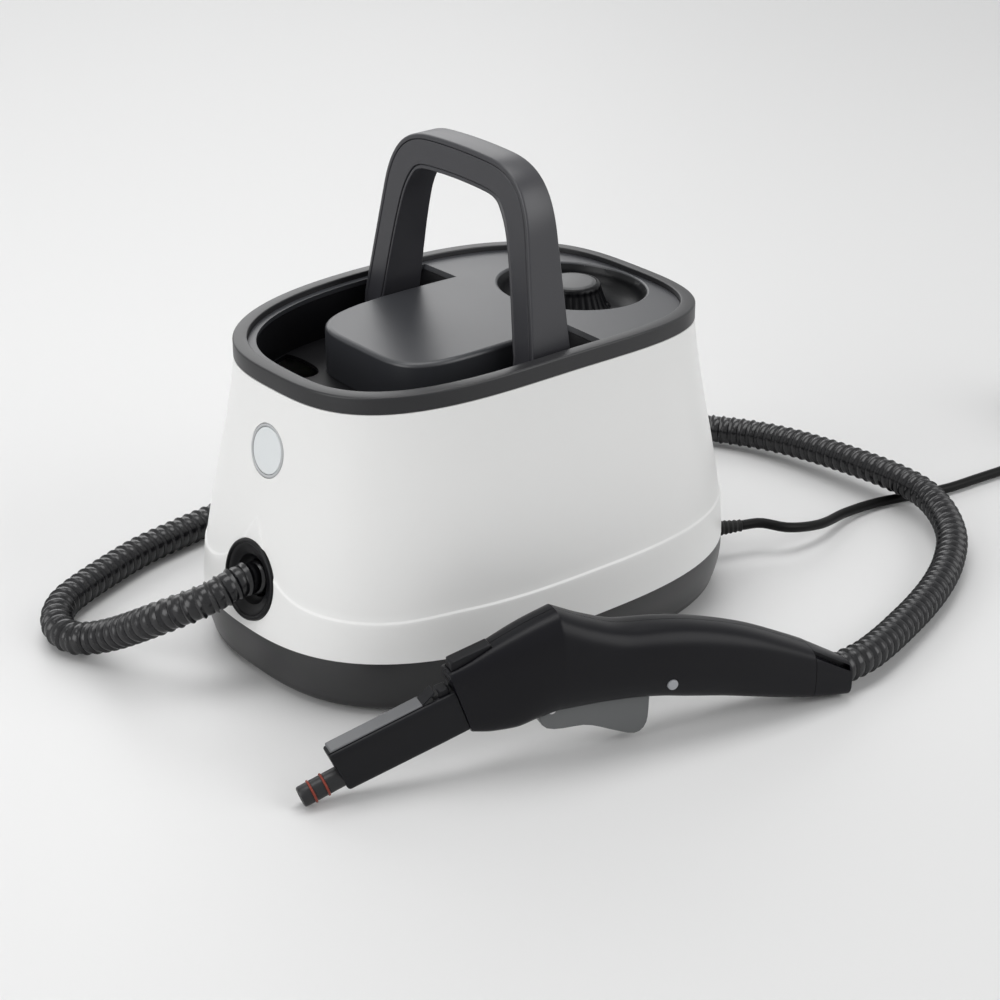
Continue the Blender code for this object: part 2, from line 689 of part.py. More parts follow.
def base_pan():
    inset_bottom = PAN_CORNER
    floor = BASE_HEIGHT + SHELL_WALL

    def flat(angle, inset, height):
        point = pan_point(angle, 1.0, inset)
        return Vector((point.x, point.y, height))
    rows = [ring_of(lambda angle: flat(angle, inset_bottom, BASE_HEIGHT)),
            ring_of(lambda angle: flat(angle, inset_bottom * 0.3, BASE_HEIGHT + PAN_CORNER * 0.3))]
    outer_rows = 2
    for row in range(outer_rows + 1):
        rows.append(ring_of(lambda angle: pan_point(angle, 1 - row / outer_rows)))
    for row in range(2):
        rows.append(ring_of(lambda angle: pan_point(angle, row, SHELL_WALL)))
    rows.append(ring_of(lambda angle: flat(angle, inset_bottom, floor)))
    pan = loft("base_pan", rows, BASE_GREY, BODY)
    posts = []
    for post in range(POST_COUNT):
        angle = math.pi * (0.25 + 0.5 * post)
        reach = (BOILER_RADIUS + FLANGE_RADIUS) / 2
        x = CAP_X + reach * math.cos(angle)
        y = reach * math.sin(angle)
        posts.append(cylinder(f"boiler_post_{post}", POST_RADIUS, (x, y, floor - SHELL_WALL / 2),
                              (x, y, BOILER_SEAM - FLANGE_HEIGHT - GAP), None, BODY, sides=8))
    for side_x in (-1, 1):
        for side_y in (-1, 1):
            x = BOARD_X + side_x * (BOARD_LENGTH / 2 - BOARD_POST_MARGIN)
            y = BOARD_Y + side_y * (BOARD_WIDTH / 2 - BOARD_POST_MARGIN)
            posts.append(cylinder(f"board_post_{side_x}_{side_y}", POST_RADIUS, (x, y, floor - SHELL_WALL / 2),
                                  (x, y, BOARD_HEIGHT - GAP), None, BODY, sides=8))
    valve_base = VALVE_HEIGHT - VALVE_WIDTH / 2
    posts.append(cylinder("valve_post", POST_RADIUS * 2, (VALVE_X, VALVE_Y, floor - SHELL_WALL / 2),
                          (VALVE_X, VALVE_Y, valve_base - GAP), None, BODY, sides=8))
    join(pan, *posts)
    place, out = lead_exit()
    cut(pan, cylinder("lead_hole", RELIEF_ROOT_RADIUS + GAP, place - out * OVERRUN, place + out * OVERRUN,
                      None, BODY, sides=16))


def feet():
    for name, side_x, side_y in (("foot_front_near", -1, -1), ("foot_front_far", -1, 1),
                                 ("foot_rear_near", 1, -1), ("foot_rear_far", 1, 1)):
        x = side_x * FOOT_X
        y = side_y * FOOT_Y
        cylinder(name, FOOT_RADIUS, (x, y, 0), (x, y, BASE_HEIGHT - GAP), RUBBER, BODY, sides=12)


def rim_ring(inset, height):
    points = []
    for x, y in outline(RIM_HALF_LENGTH - inset, RIM_HALF_WIDTH - inset, RIM_GLAND_POWER, RIM_REAR_POWER):
        points.append(Vector((x, y, height - rim_drop(x, y))))
    return points


def top_rim():
    under = RIM_HEIGHT - RIM_BAND + GAP
    ledge = RIM_HEIGHT - DECK_BELOW_RIM - DECK_THICKNESS - GAP
    profile = ((0, under), (0, RIM_HEIGHT - RIM_EDGE), (RIM_EDGE * 0.3, RIM_HEIGHT - RIM_EDGE * 0.3),
               (RIM_EDGE, RIM_HEIGHT), (RIM_TOP_WIDTH - RIM_EDGE / 2, RIM_HEIGHT),
               (RIM_TOP_WIDTH, RIM_HEIGHT - RIM_EDGE / 2), (RIM_TOP_WIDTH, ledge),
               (RIM_TOP_WIDTH + LEDGE_WIDTH, ledge), (RIM_TOP_WIDTH + LEDGE_WIDTH, under))
    loft("top_rim", [rim_ring(inset, height) for inset, height in profile], RIM_GREY, BODY, ring_shaped=True)


# Deck and channel

def prism(name, points, low, high, finish, parent):
    rings = [[Vector((x, y, height)) for x, y in points] for height in (low, high)]
    return loft(name, rings, finish, parent)


def plateau_outline(inset, rear):
    """The plateau's front is half of a rounded rectangle, and its sides run straight to the rear."""
    half = 14
    points = []
    for step in range(half + 1):
        angle = math.pi / 2 + math.pi * step / half
        points.append(outline_point(angle, PLATEAU_FRONT - inset, PLATEAU_HALF_WIDTH - inset, PLATEAU_POWER))
    return points + [(rear, -(PLATEAU_HALF_WIDTH - inset)), (rear, PLATEAU_HALF_WIDTH - inset)]


def behind_pocket(name, shift):
    """A block that holds everything behind the slanted rear wall of the leg pockets."""
    deck = RIM_HEIGHT - DECK_BELOW_RIM
    reach = RIM_HALF_LENGTH + OVERRUN
    block = box(name, (0, -reach, -reach), (reach * 2, reach, reach), None, BODY)
    block.location = (POCKET_REAR + shift, 0, deck)
    block.rotation_euler = (0, POCKET_SLANT, 0)
    return block


def channel_space(name, low, high, shift=0.0):
    inset = RIM_TOP_WIDTH + LIP_WIDTH
    space = prism(name, outline(RIM_HALF_LENGTH - inset, RIM_HALF_WIDTH - inset, RIM_GLAND_POWER, RIM_REAR_POWER),
                  low, high, None, BODY)
    cut(space, behind_pocket(name + "_rear", shift))
    return space


def bowl_ring(half_length, half_width, height, count=28):
    points = []
    for x, y in outline(half_length, half_width, 2.0, count=count):
        points.append(Vector((CAP_X + x, y, height)))
    return points


def dome(made, stations=8):
    """Bend a piece of the deck to the rim's low dome. Its channel floor stays flat."""
    settle(made)
    bm = bmesh.new()
    bm.from_mesh(made.data)
    for station in range(1, stations):
        x = RIM_HALF_LENGTH * (2 * station / stations - 1)
        bmesh.ops.bisect_plane(bm, geom=bm.verts[:] + bm.edges[:] + bm.faces[:], dist=1e-7,
                               plane_co=(x, 0, 0), plane_no=(1, 0, 0))
    deck = RIM_HEIGHT - DECK_BELOW_RIM
    for corner in bm.verts:
        weight = max(0.0, (corner.co.z - CHANNEL_FLOOR) / (deck - CHANNEL_FLOOR))
        corner.co.z -= rim_drop(corner.co.x, corner.co.y) * weight
    bm.to_mesh(made.data)
    bm.free()
    smooth(made.data)


def top_deck():
    deck = RIM_HEIGHT - DECK_BELOW_RIM
    under = deck - DECK_THICKNESS
    clearance = RIM_TOP_WIDTH + GAP
    plate = prism("top_deck", outline(RIM_HALF_LENGTH - clearance, RIM_HALF_WIDTH - clearance,
                                      RIM_GLAND_POWER, RIM_REAR_POWER), under, deck, DECK_GREY, BODY)
    plateau = prism("plateau_body", plateau_outline(0, PLATEAU_REAR), CHANNEL_FLOOR + GAP,
                    deck - DECK_THICKNESS / 2, None, BODY)
    floor = deck - RECESS_DEPTH
    shares = ((0.96, 0.10), (0.90, 0.55), (0.80, 0.88), (0.70, 1.0))
    outer = [bowl_ring(RECESS_HALF_LENGTH * 0.965 + BOWL_WALL, RECESS_HALF_WIDTH * 0.965 + BOWL_WALL,
                       deck - DECK_THICKNESS / 2)]
    inner = [bowl_ring(RECESS_HALF_LENGTH, RECESS_HALF_WIDTH, deck + OVERRUN),
             bowl_ring(RECESS_HALF_LENGTH, RECESS_HALF_WIDTH, deck - PLATEAU_ROLL / 2)]
    for width_share, depth_share in shares:
        outer.append(bowl_ring(RECESS_HALF_LENGTH * width_share + BOWL_WALL,
                               RECESS_HALF_WIDTH * width_share + BOWL_WALL,
                               mix(deck - PLATEAU_ROLL / 2, floor - BOWL_WALL, depth_share)))
        inner.append(bowl_ring(RECESS_HALF_LENGTH * width_share, RECESS_HALF_WIDTH * width_share,
                               mix(deck - PLATEAU_ROLL / 2, floor, depth_share)))
    housing = loft("bowl_housing", outer, None, BODY)
    join(plate, plateau, housing)
    slot = channel_space("deck_slot", CHANNEL_FLOOR - OVERRUN, deck + OVERRUN)
    rolled = []
    for inset, height in ((0, CHANNEL_FLOOR - OVERRUN * 2), (0, deck - PLATEAU_ROLL),
                          (PLATEAU_ROLL * 0.3, deck - PLATEAU_ROLL * 0.3), (PLATEAU_ROLL, deck),
                          (PLATEAU_ROLL, deck + OVERRUN * 2)):
        rolled.append([Vector((x, y, height)) for x, y in plateau_outline(inset, PLATEAU_REAR)])
    cut(slot, loft("rolled_plateau", rolled, None, BODY))
    recess = loft("cap_recess", inner, None, BODY)
    cavity = prism("plateau_cavity", plateau_outline(PLATEAU_WALL, CAVITY_REAR), CHANNEL_FLOOR - OVERRUN,
                   deck - DECK_THICKNESS - PLATEAU_WALL / 2, None, BODY)
    neck_hole = cylinder("neck_hole", NECK_RADIUS + GAP, (CAP_X, 0, floor - OVERRUN), (CAP_X, 0, deck), None, BODY,
                         sides=32)
    cut(plate, slot, recess, cavity, neck_hole)
    dome(plate)


def channel_tray():
    deck = RIM_HEIGHT - DECK_BELOW_RIM
    top = deck - DECK_THICKNESS - GAP
    outer = RIM_TOP_WIDTH + LEDGE_WIDTH + GAP
    tray = prism("channel_tray", outline(RIM_HALF_LENGTH - outer, RIM_HALF_WIDTH - outer, RIM_GLAND_POWER,
                                         RIM_REAR_POWER), CHANNEL_FLOOR - SHELL_WALL, top, TRAY_BLACK, BODY)
    cut(tray, behind_pocket("tray_rear", SHELL_WALL), channel_space("tray_space", CHANNEL_FLOOR, deck + OVERRUN))
    around_plateau = prism("around_plateau", plateau_outline(-GAP, RIM_HALF_LENGTH), CHANNEL_FLOOR,
                           deck + OVERRUN, None, BODY)
    opening = prism("floor_opening", plateau_outline(FLOOR_OPENING_INSET, RIM_HALF_LENGTH),
                    CHANNEL_FLOOR - OVERRUN, deck + OVERRUN, None, BODY)
    drain = [(DRAIN_X + x, DRAIN_Y + y) for x, y in outline(DRAIN_HALF_LENGTH, DRAIN_HALF_WIDTH, 2.0, count=16)]
    drain_hole = prism("drain_hole", drain, CHANNEL_FLOOR - OVERRUN, CHANNEL_FLOOR + OVERRUN / 2, None, BODY)
    pin_hole = cylinder("tray_pin_hole", PIN_RADIUS + GAP, (PIVOT_X, -RIM_HALF_WIDTH, PIVOT_HEIGHT),
                        (PIVOT_X, RIM_HALF_WIDTH, PIVOT_HEIGHT), None, BODY, sides=16)
    cut(tray, around_plateau, opening, drain_hole)
    dome(tray)
    cut(tray, pin_hole)


# Handle

def handle_half_width(height):
    return min(HANDLE_HALF_WIDTH, HANDLE_HALF_WIDTH - (height - HANDLE_FOOT_LEVEL) * HANDLE_TAPER)


def handle_front(height):
    return -HANDLE_FRONT + (height - HANDLE_FOOT_LEVEL) * HANDLE_LEAN


def handle_stations():
    """Stations up one leg, round the corner and to the middle of the grip, each with its outward direction and
    the share of its full depth."""
    stations = []
    for degrees in (72, 50, 25, 0):
        angle = math.radians(degrees)
        height = PIVOT_HEIGHT - HANDLE_FOOT_DEPTH * math.sin(angle)
        stations.append((handle_half_width(height), height, math.cos(angle)))
    corner_height = HANDLE_TOP - HANDLE_CORNER_RUN
    for height in (HANDLE_FOOT_LEVEL, mix(HANDLE_FOOT_LEVEL, corner_height, 0.5), corner_height):
        stations.append((handle_half_width(height), height, 1.0))
    start = Vector((handle_half_width(corner_height), corner_height))
    side = start.x - HANDLE_CORNER_RUN
    end = Vector((side, HANDLE_TOP - HANDLE_CROWN * (side / start.x) ** 2))
    leg = Vector((-HANDLE_TAPER, 1.0)).normalized()
    crown = Vector((1.0, -2 * HANDLE_CROWN * side / start.x ** 2)).normalized()
    reach = HANDLE_CORNER_RUN * 0.62
    controls = (start, start + leg * reach, end + crown * reach, end)
    bends = 5
    for step in range(1, bends + 1):
        t = step / bends
        point = (controls[0] * (1 - t) ** 3 + controls[1] * 3 * t * (1 - t) ** 2
                 + controls[2] * 3 * t * t * (1 - t) + controls[3] * t ** 3)
        stations.append((point.x, point.y, 1.0))
    stations.append((side / 2, HANDLE_TOP - HANDLE_CROWN * (side / 2 / start.x) ** 2, 1.0))
    mirrored = [(-y, height, depth) for y, height, depth in reversed(stations)]
    return stations + [(0.0, HANDLE_TOP, 1.0)] + mirrored


def handle_rings(section):
    """Sweep a section along the handle. A section point is (in from the outer edge, share of the way from the front
    to the back, and how much further back from there)."""
    stations = handle_stations()
    rings = []
    for place, (y, height, depth) in enumerate(stations):
        before = stations[max(0, place - 1)]
        after = stations[min(len(stations) - 1, place + 1)]
        run = Vector((after[0] - before[0], after[1] - before[1])).normalized()
        inward = Vector((-run.y, run.x))
        if depth < 1.0 or height <= HANDLE_FOOT_LEVEL:
            inward = Vector((-math.copysign(1.0, y), 0.0))
        ring = []
        for across, back_share, further in section:
            point = Vector((y, height)) + inward * across
            x = mix(handle_front(point.y), HANDLE_BACK, back_share) * depth + further
            ring.append(Vector((PIVOT_X + x, point.x, point.y)))
        rings.append(ring)
    return rings


def handle():
    edge = HANDLE_EDGE
    inner = HANDLE_THICKNESS - TRIM_INNER_MARGIN
    bow_section = ((0, 0, edge), (edge, 0, 0), (TRIM_OUTER_MARGIN, 0, 0), (TRIM_OUTER_MARGIN, 0, TRIM_DEPTH),
                   (inner, 0, TRIM_DEPTH), (inner, 0, 0), (HANDLE_THICKNESS - edge, 0, 0),
                   (HANDLE_THICKNESS, 0, edge), (HANDLE_THICKNESS, 1, -edge), (HANDLE_THICKNESS - edge, 1, 0),
                   (edge, 1, 0), (0, 1, -edge))
    bow = loft("handle_bow", handle_rings(bow_section), HANDLE_GREY, BODY)
    low = TRIM_OUTER_MARGIN + GAP
    high = inner - GAP
    under = TRIM_DEPTH - GAP
    trim_section = ((low, 0, 0), (high, 0, 0), (high, 0, under), (low, 0, under))
    trim = loft("handle_front_trim", handle_rings(trim_section), HANDLE_GREY, BODY)
    bore = cylinder("handle_pin_bore", PIN_RADIUS + GAP, (PIVOT_X, -RIM_HALF_WIDTH, PIVOT_HEIGHT),
                    (PIVOT_X, RIM_HALF_WIDTH, PIVOT_HEIGHT), None, BODY, sides=16)
    cut(bow, bore)
    for piece in (bow, trim):
        move_origin(piece, (PIVOT_X, 0, PIVOT_HEIGHT))
    head = HANDLE_HALF_WIDTH - HANDLE_THICKNESS - GAP
    wall = RIM_HALF_WIDTH - RIM_TOP_WIDTH - LEDGE_WIDTH - GAP * 2
    for name, side in (("handle_pin_near", -1), ("handle_pin_far", 1)):
        profile = ((0, wall), (PIN_RADIUS, wall), (PIN_RADIUS, head), (PIN_HEAD_RADIUS, head),
                   (PIN_HEAD_RADIUS, head - PIN_HEAD_LENGTH), (0, head - PIN_HEAD_LENGTH))
        turned(name, profile, STEEL, BODY, (PIVOT_X, 0, PIVOT_HEIGHT), (0, side, 0), steps=12)


# Filler cap

def filler_cap():
    floor = RIM_HEIGHT - DECK_BELOW_RIM - RECESS_DEPTH
    skirt = floor + CAP_LIFT_ROOM
    top = floor + CAP_ROOF_ABOVE_FLOOR
    neck_top = floor + NECK_ABOVE_FLOOR
    seal_top = neck_top + GAP + SEAL_HEIGHT
    flange_top = seal_top + GAP + PLUG_FLANGE_HEIGHT
    rings = []
    sides = CAP_RIBS * 2
    shoulder = top - DISC_DEPTH - CAP_RIB_DEPTH

    def ring(radius, height, rib):
        points = []
        for side in range(sides):
            angle = 2 * math.pi * side / sides
            reach = radius - (rib if side % 2 else 0)
            points.append(Vector((reach * math.cos(angle), reach * math.sin(angle), height)))
        return points
    inside = NECK_RADIUS + PLUG_FLANGE_HEIGHT
    rings.append(ring(inside, flange_top + GAP, 0))
    rings.append(ring(inside, skirt, 0))
    rings.append(ring(CAP_SKIRT_RADIUS - CAP_RIB_DEPTH, skirt, 0))
    rings.append(ring(CAP_SKIRT_RADIUS, skirt + CAP_RIB_DEPTH, CAP_RIB_DEPTH))
    rings.append(ring(mix(CAP_SKIRT_RADIUS, CAP_TOP_RADIUS, 0.75), mix(skirt, shoulder, 0.8), CAP_RIB_DEPTH))
    rings.append(ring(CAP_TOP_RADIUS, shoulder, CAP_RIB_DEPTH * 0.5))
    rings.append(ring(CAP_TOP_RADIUS - CAP_RIB_DEPTH, top - DISC_DEPTH * 0.5, 0))
    rings.append(ring(DISC_RADIUS + GAP, top - DISC_DEPTH * 0.3, 0))
    rings.append(ring(DISC_RADIUS + GAP, top - DISC_DEPTH - GAP, 0))
    turn_axis = empty("cap_axis", (CAP_X, 0, 0), BODY)
    loft("cap_knob", rings, CAP_BLACK, turn_axis)
    turned("cap_disc", ((0, top), (DISC_RADIUS * 0.7, top - DISC_DEPTH * 0.1),
                        (DISC_RADIUS, top - DISC_DEPTH * 0.4), (DISC_RADIUS, top - DISC_DEPTH),
                        (0, top - DISC_DEPTH)), CAP_GREY, turn_axis, steps=20)
    plug_radius = NECK_BORE - GAP * 1.5
    turned("cap_plug", ((0, flange_top), (NECK_RADIUS, flange_top), (NECK_RADIUS, seal_top + GAP),
                        (plug_radius, seal_top + GAP), (plug_radius, seal_top - PLUG_LENGTH),
                        (0, seal_top - PLUG_LENGTH)), CAP_BLACK, turn_axis, steps=20)
    turned("cap_seal", ((NECK_RADIUS - GAP, seal_top), (NECK_RADIUS - GAP, neck_top + GAP),
                        (NECK_BORE, neck_top + GAP), (NECK_BORE, seal_top)), SEAL_RED, turn_axis, steps=20)
    turned("filler_neck", ((NECK_RADIUS, neck_top), (NECK_RADIUS, BOILER_TOP + GAP),
                           (NECK_BORE, BOILER_TOP + GAP), (NECK_BORE, neck_top)), STEEL, turn_axis, steps=20)


# Boiler

def boiler():
    corner = BOILER_CORNER
    wall = BOILER_WALL
    axis = empty("boiler_axis", (CAP_X, 0, 0), BODY)
    bottom = BOILER_BOTTOM
    seam = BOILER_SEAM
    flange = FLANGE_HEIGHT

    def corner_points(radius, height, bend, up):
        points = []
        for step in range(3):
            angle = math.pi / 2 * step / 2
            points.append((radius - bend + bend * math.cos(angle), height + up * (bend * math.sin(angle) - bend)))
        return points
    outer = corner_points(BOILER_RADIUS, bottom, corner, -1)
    inner = corner_points(BOILER_RADIUS - wall, bottom + wall, corner - wall, -1)
    profile = [(FLANGE_RADIUS, seam - GAP), (FLANGE_RADIUS, seam - flange), (BOILER_RADIUS, seam - flange)]
    profile += outer + [(0, bottom), (0, bottom + wall)] + inner[::-1] + [(BOILER_RADIUS - wall, seam - GAP)]
    turned("boiler_lower", profile, STEEL, axis, steps=18)
    top = BOILER_TOP
    outer = corner_points(BOILER_RADIUS, top, corner, 1)
    inner = corner_points(BOILER_RADIUS - wall, top - wall, corner - wall, 1)
    profile = [(NECK_BORE, top)] + outer[::-1] + [(BOILER_RADIUS, seam + flange), (FLANGE_RADIUS, seam + flange),
                                                  (FLANGE_RADIUS, seam), (BOILER_RADIUS - wall, seam)]
    profile += inner + [(NECK_BORE, top - wall)]
    turned("boiler_upper", profile, STEEL, axis, steps=18)
    middle = bottom - GAP - HEATER_TUBE
    around = []
    for step in range(6):
        angle = 2 * math.pi * step / 6
        around.append((HEATER_RADIUS + HEATER_TUBE * math.cos(angle), middle - HEATER_TUBE * math.sin(angle)))
    turned("heater_ring", around, HEATER_STEEL, axis, steps=16)
    cylinder("thermostat", THERMOSTAT_RADIUS, (CAP_X, 0, bottom - GAP),
             (CAP_X, 0, bottom - GAP - THERMOSTAT_HEIGHT), PHENOLIC, BODY, sides=16)
    fuse_place = CAP_X - HEATER_RADIUS / 2 - THERMOSTAT_RADIUS / 2
    cylinder("thermal_fuse", FUSE_RADIUS, (fuse_place, -FUSE_LENGTH / 2, bottom - GAP - FUSE_RADIUS),
             (fuse_place, FUSE_LENGTH / 2, bottom - GAP - FUSE_RADIUS), PHENOLIC, BODY, sides=8)
    turned("pressure_switch", ((0, top + GAP + SWITCH_HEIGHT), (SWITCH_RADIUS, top + GAP + SWITCH_HEIGHT),
                               (SWITCH_RADIUS, top + GAP + SWITCH_HEIGHT / 2),
                               (SWITCH_RADIUS / 2, top + GAP + SWITCH_HEIGHT / 2), (SWITCH_RADIUS / 2, top + GAP),
                               (0, top + GAP)), PHENOLIC, axis, place=(0, SWITCH_Y, 0), steps=12)


def steam_circuit():
    """Solenoid valve between the boiler and the hose, with its two pipes."""
    low = VALVE_HEIGHT - VALVE_WIDTH / 2
    valve = box("solenoid_valve", (VALVE_X - VALVE_LENGTH / 2, VALVE_Y - VALVE_WIDTH / 2, low),
                (VALVE_X + VALVE_LENGTH / 2, VALVE_Y + VALVE_WIDTH / 2, low + VALVE_WIDTH), BRASS, BODY)
    coil = cylinder("valve_coil", VALVE_COIL_RADIUS, (VALVE_X, VALVE_Y, VALVE_HEIGHT),
                    (VALVE_X, VALVE_Y, VALVE_HEIGHT + VALVE_WIDTH / 2 + VALVE_COIL_LENGTH), None, BODY, sides=16)
    join(valve, coil)
    boiler_end = Vector((CAP_X - BOILER_RADIUS + BOILER_CORNER + PIPE_RADIUS * 2, 0, BOILER_TOP + GAP))
    rise = Vector((0, 0, PIPE_RISE))
    inlet = Vector((VALVE_X + VALVE_LENGTH / 2 + GAP, VALVE_Y, VALVE_HEIGHT))
    clear_of_boiler = CAP_X - FLANGE_RADIUS - PIPE_RADIUS * 3
    points = [boiler_end + rise,
              Vector((clear_of_boiler + BOILER_CORNER, VALVE_Y / 8, BOILER_TOP + PIPE_RISE)),
              Vector((clear_of_boiler, VALVE_Y / 3, mix(BOILER_TOP, VALVE_HEIGHT, 0.25))),
              Vector((clear_of_boiler, VALVE_Y * 0.7, mix(BOILER_TOP, VALVE_HEIGHT, 0.7))),
              inlet + Vector((PIPE_STRAIGHT, 0, 0)), inlet]
    route, _ = even_points(points, 13)
    tube("steam_pipe_boiler", [boiler_end] + route, PIPE_RADIUS, COPPER, BODY)
    place, out = shell_face(math.pi, GLAND_HEIGHT)
    end = place - out * (GLAND_DEPTH + FERRULE_LENGTH + GAP * 2)
    outlet = Vector((VALVE_X - VALVE_LENGTH / 2 - GAP, VALVE_Y, VALVE_HEIGHT))
    points = [outlet, outlet - Vector((PIPE_STRAIGHT, 0, 0)), mix(outlet, end, 0.5), end - out * PIPE_STRAIGHT, end]
    route, _ = even_points(points, 11)
    tube("steam_pipe_hose", route, PIPE_RADIUS, COPPER, BODY)


def control_board():
    low = Vector((BOARD_X - BOARD_LENGTH / 2, BOARD_Y - BOARD_WIDTH / 2, BOARD_HEIGHT))
    size = Vector((BOARD_LENGTH, BOARD_WIDTH, BOARD_THICKNESS))
    board = box("control_board", low, low + size, BOARD_GREEN, BODY)
    sunk = BOARD_HEIGHT + BOARD_THICKNESS / 2
    relay = Vector((BOARD_X - RELAY_LENGTH, BOARD_Y, sunk))
    terminal = Vector((BOARD_X + RELAY_LENGTH / 2, BOARD_Y - BOARD_WIDTH / 4, sunk))
    relay_size = Vector((RELAY_LENGTH, RELAY_WIDTH, RELAY_HEIGHT))
    terminal_size = Vector((TERMINAL_LENGTH, TERMINAL_WIDTH, TERMINAL_HEIGHT))
    join(board, box("relay", relay, relay + relay_size, None, BODY),
         box("terminals", terminal, terminal + terminal_size, None, BODY))


# Power button and hose gland

def power_button():
    place, out = shell_face(math.pi, BUTTON_HEIGHT)
    bore = BUTTON_RADIUS + GAP
    lip = GAP
    floor = lip - BEZEL_DEPTH + BEZEL_FLOOR
    bezel = ((bore, lip), (BEZEL_RADIUS, lip), (BEZEL_RADIUS, lip - BEZEL_DEPTH), (0, lip - BEZEL_DEPTH), (0, floor),
             (bore, floor))
    turned("button_bezel", bezel, TRIM_GREY, BODY, place, out, steps=20)
    button = ((0, -BUTTON_DISH), (BUTTON_RADIUS * 0.8, -BUTTON_DISH * 0.4), (BUTTON_RADIUS * 0.97, 0),
              (BUTTON_RADIUS, -BUTTON_DISH), (BUTTON_RADIUS, -BUTTON_DEPTH), (0, -BUTTON_DEPTH))
    turned("power_button", button, BUTTON_GREY, BODY, place, out, steps=20)
    top = -BUTTON_DEPTH - BUTTON_TRAVEL - GAP
    turned("power_switch", ((0, top), (MICROSWITCH_RADIUS / 3, top), (MICROSWITCH_RADIUS / 3, top - GAP * 8),
                            (MICROSWITCH_RADIUS, top - GAP * 8), (MICROSWITCH_RADIUS, floor + GAP),
                            (0, floor + GAP)), PHENOLIC, BODY, place, out, steps=12)


def hose_gland():
    place, out = shell_face(math.pi, GLAND_HEIGHT)
    proud = GLAND_PROUD
    turned("hose_gland", ((GLAND_RADIUS - GLAND_LIP, proud), (GLAND_RADIUS - GLAND_LIP * 0.4, proud - GAP),
                          (GLAND_RADIUS, proud - GLAND_LIP * 0.6), (GLAND_RADIUS, -GLAND_DEPTH / 2),
                          (GLAND_MOUTH_RADIUS + GLAND_LIP, -GLAND_DEPTH), (GLAND_THROAT_RADIUS, -GLAND_DEPTH),
                          (GLAND_THROAT_RADIUS + GAP, -GLAND_DEPTH * 0.45),
                          (GLAND_MOUTH_RADIUS, -GLAND_DISH),
                          (GLAND_MOUTH_RADIUS + GLAND_LIP * 0.4, -GLAND_DISH * 0.4),
                          (mix(GLAND_MOUTH_RADIUS, GLAND_RADIUS, 0.5), GLAND_DISH * 0.1)),
           GLAND_BLACK, BODY, place, out, steps=22)
    seat = -GLAND_DEPTH - GAP
    turned("hose_ferrule", ((FERRULE_BORE, seat), (GLAND_MOUTH_RADIUS, seat),
                            (GLAND_MOUTH_RADIUS, seat - FERRULE_LENGTH / 3),
                            (FERRULE_BORE * 2, seat - FERRULE_LENGTH / 3), (FERRULE_BORE * 2, seat - FERRULE_LENGTH),
                            (FERRULE_BORE, seat - FERRULE_LENGTH)), BRASS, BODY, place, out, steps=12)


# Hose and lead

def hose_route():
    """Hand-chosen points of the hose from the gland round behind the body to the gun, from the body's centre."""
    place, out = shell_face(math.pi, GLAND_HEIGHT)
    start = place - out * (GLAND_DEPTH - GAP)
    return [start, start + out * HOSE_RIB_RADIUS * 2] + [Vector(point) for point in (
        (-0.1900, 0.0030, 0.0605), (-0.2010, 0.0085, 0.0560), (-0.2100, 0.0175, 0.0500), (-0.2170, 0.0300, 0.0420),
        (-0.2215, 0.0460, 0.0320), (-0.2255, 0.0640, 0.0215), (-0.2315, 0.0810, 0.0135), (-0.2370, 0.0920, 0.0108),
        (-0.2385, 0.1060, 0.0106), (-0.2330, 0.1210, 0.0106), (-0.2190, 0.1370, 0.0106), (-0.1990, 0.1480, 0.0106),
        (-0.1800, 0.1560, 0.0106), (-0.1440, 0.1690, 0.0106), (-0.1090, 0.1760, 0.0106), (-0.0600, 0.1830, 0.0106),
        (0.0000, 0.1870, 0.0106), (0.0700, 0.1860, 0.0106), (0.1400, 0.1760, 0.0106), (0.2000, 0.1540, 0.0106),
        (0.2500, 0.1220, 0.0107), (0.2860, 0.0830, 0.0112), (0.3020, 0.0560, 0.0122), (0.3120, 0.0240, 0.0142),
        (0.3170, -0.0140, 0.0165), (0.3190, -0.0500, 0.0183), (0.3200, -0.0800, 0.0187), (0.3180, -0.1060, 0.0178),
        (0.3085, -0.1310, 0.0156), (0.2890, -0.1575, 0.0130), (0.2630, -0.1780, 0.0112), (0.2340, -0.1946, 0.0106),
        (0.2020, -0.2085, 0.0106), (0.1700, -0.2200, 0.0112), (0.1440, -0.2285, 0.0121))] + gun_tail_points()


def gun_point(along, height):
    """A point in the gun's middle plane, from the body's centre."""
    return Vector((GUN_X + along * math.cos(GUN_ANGLE), GUN_Y + along * math.sin(GUN_ANGLE), height))


def gun_tail_points():
    """The last straight of the hose into the gun's tail."""
    tail = gun_point(GUN_END, tail_height())
    angle = GUN_ANGLE + GUN_TAIL_SWING
    way = Vector((math.cos(angle), math.sin(angle), 0))
    return [tail + way * HOSE_RIB_RADIUS * 2.5, tail + way * GAP]


def tail_height():
    low, high = GUN_STATIONS[-1][1:3]
    return mix(low, high, 0.5)


def steam_hose():
    count = HOSE_RIBS * 2
    route, length = even_points(hose_route(), count)
    valley = HOSE_RADIUS / HOSE_RIB_RADIUS
    radii = []
    for place in range(count):
        radii.append(1.0 if place % 2 else valley)
    hose = tube("steam_hose", route, HOSE_RIB_RADIUS, HOSE_BLACK, BODY, 2, radii)
    first = route[0] + (route[0] - route[1]).normalized() * OVERRUN / 4
    last = route[-1] + (route[-1] - route[-2]).normalized() * OVERRUN / 4
    inside = [first] + route[1:-1:5] + [last]
    bore = tube("hose_bore", inside, HOSE_BORE, HOSE_BLACK, BODY, 1)
    as_cutter(bore)
    cut(hose, bore)
    print("steam hose length", round(length, 4))


def as_cutter(made):
    PARTS.objects.unlink(made)
    CUTTERS.objects.link(made)
    made.hide_render = True
    made.display_type = "WIRE"


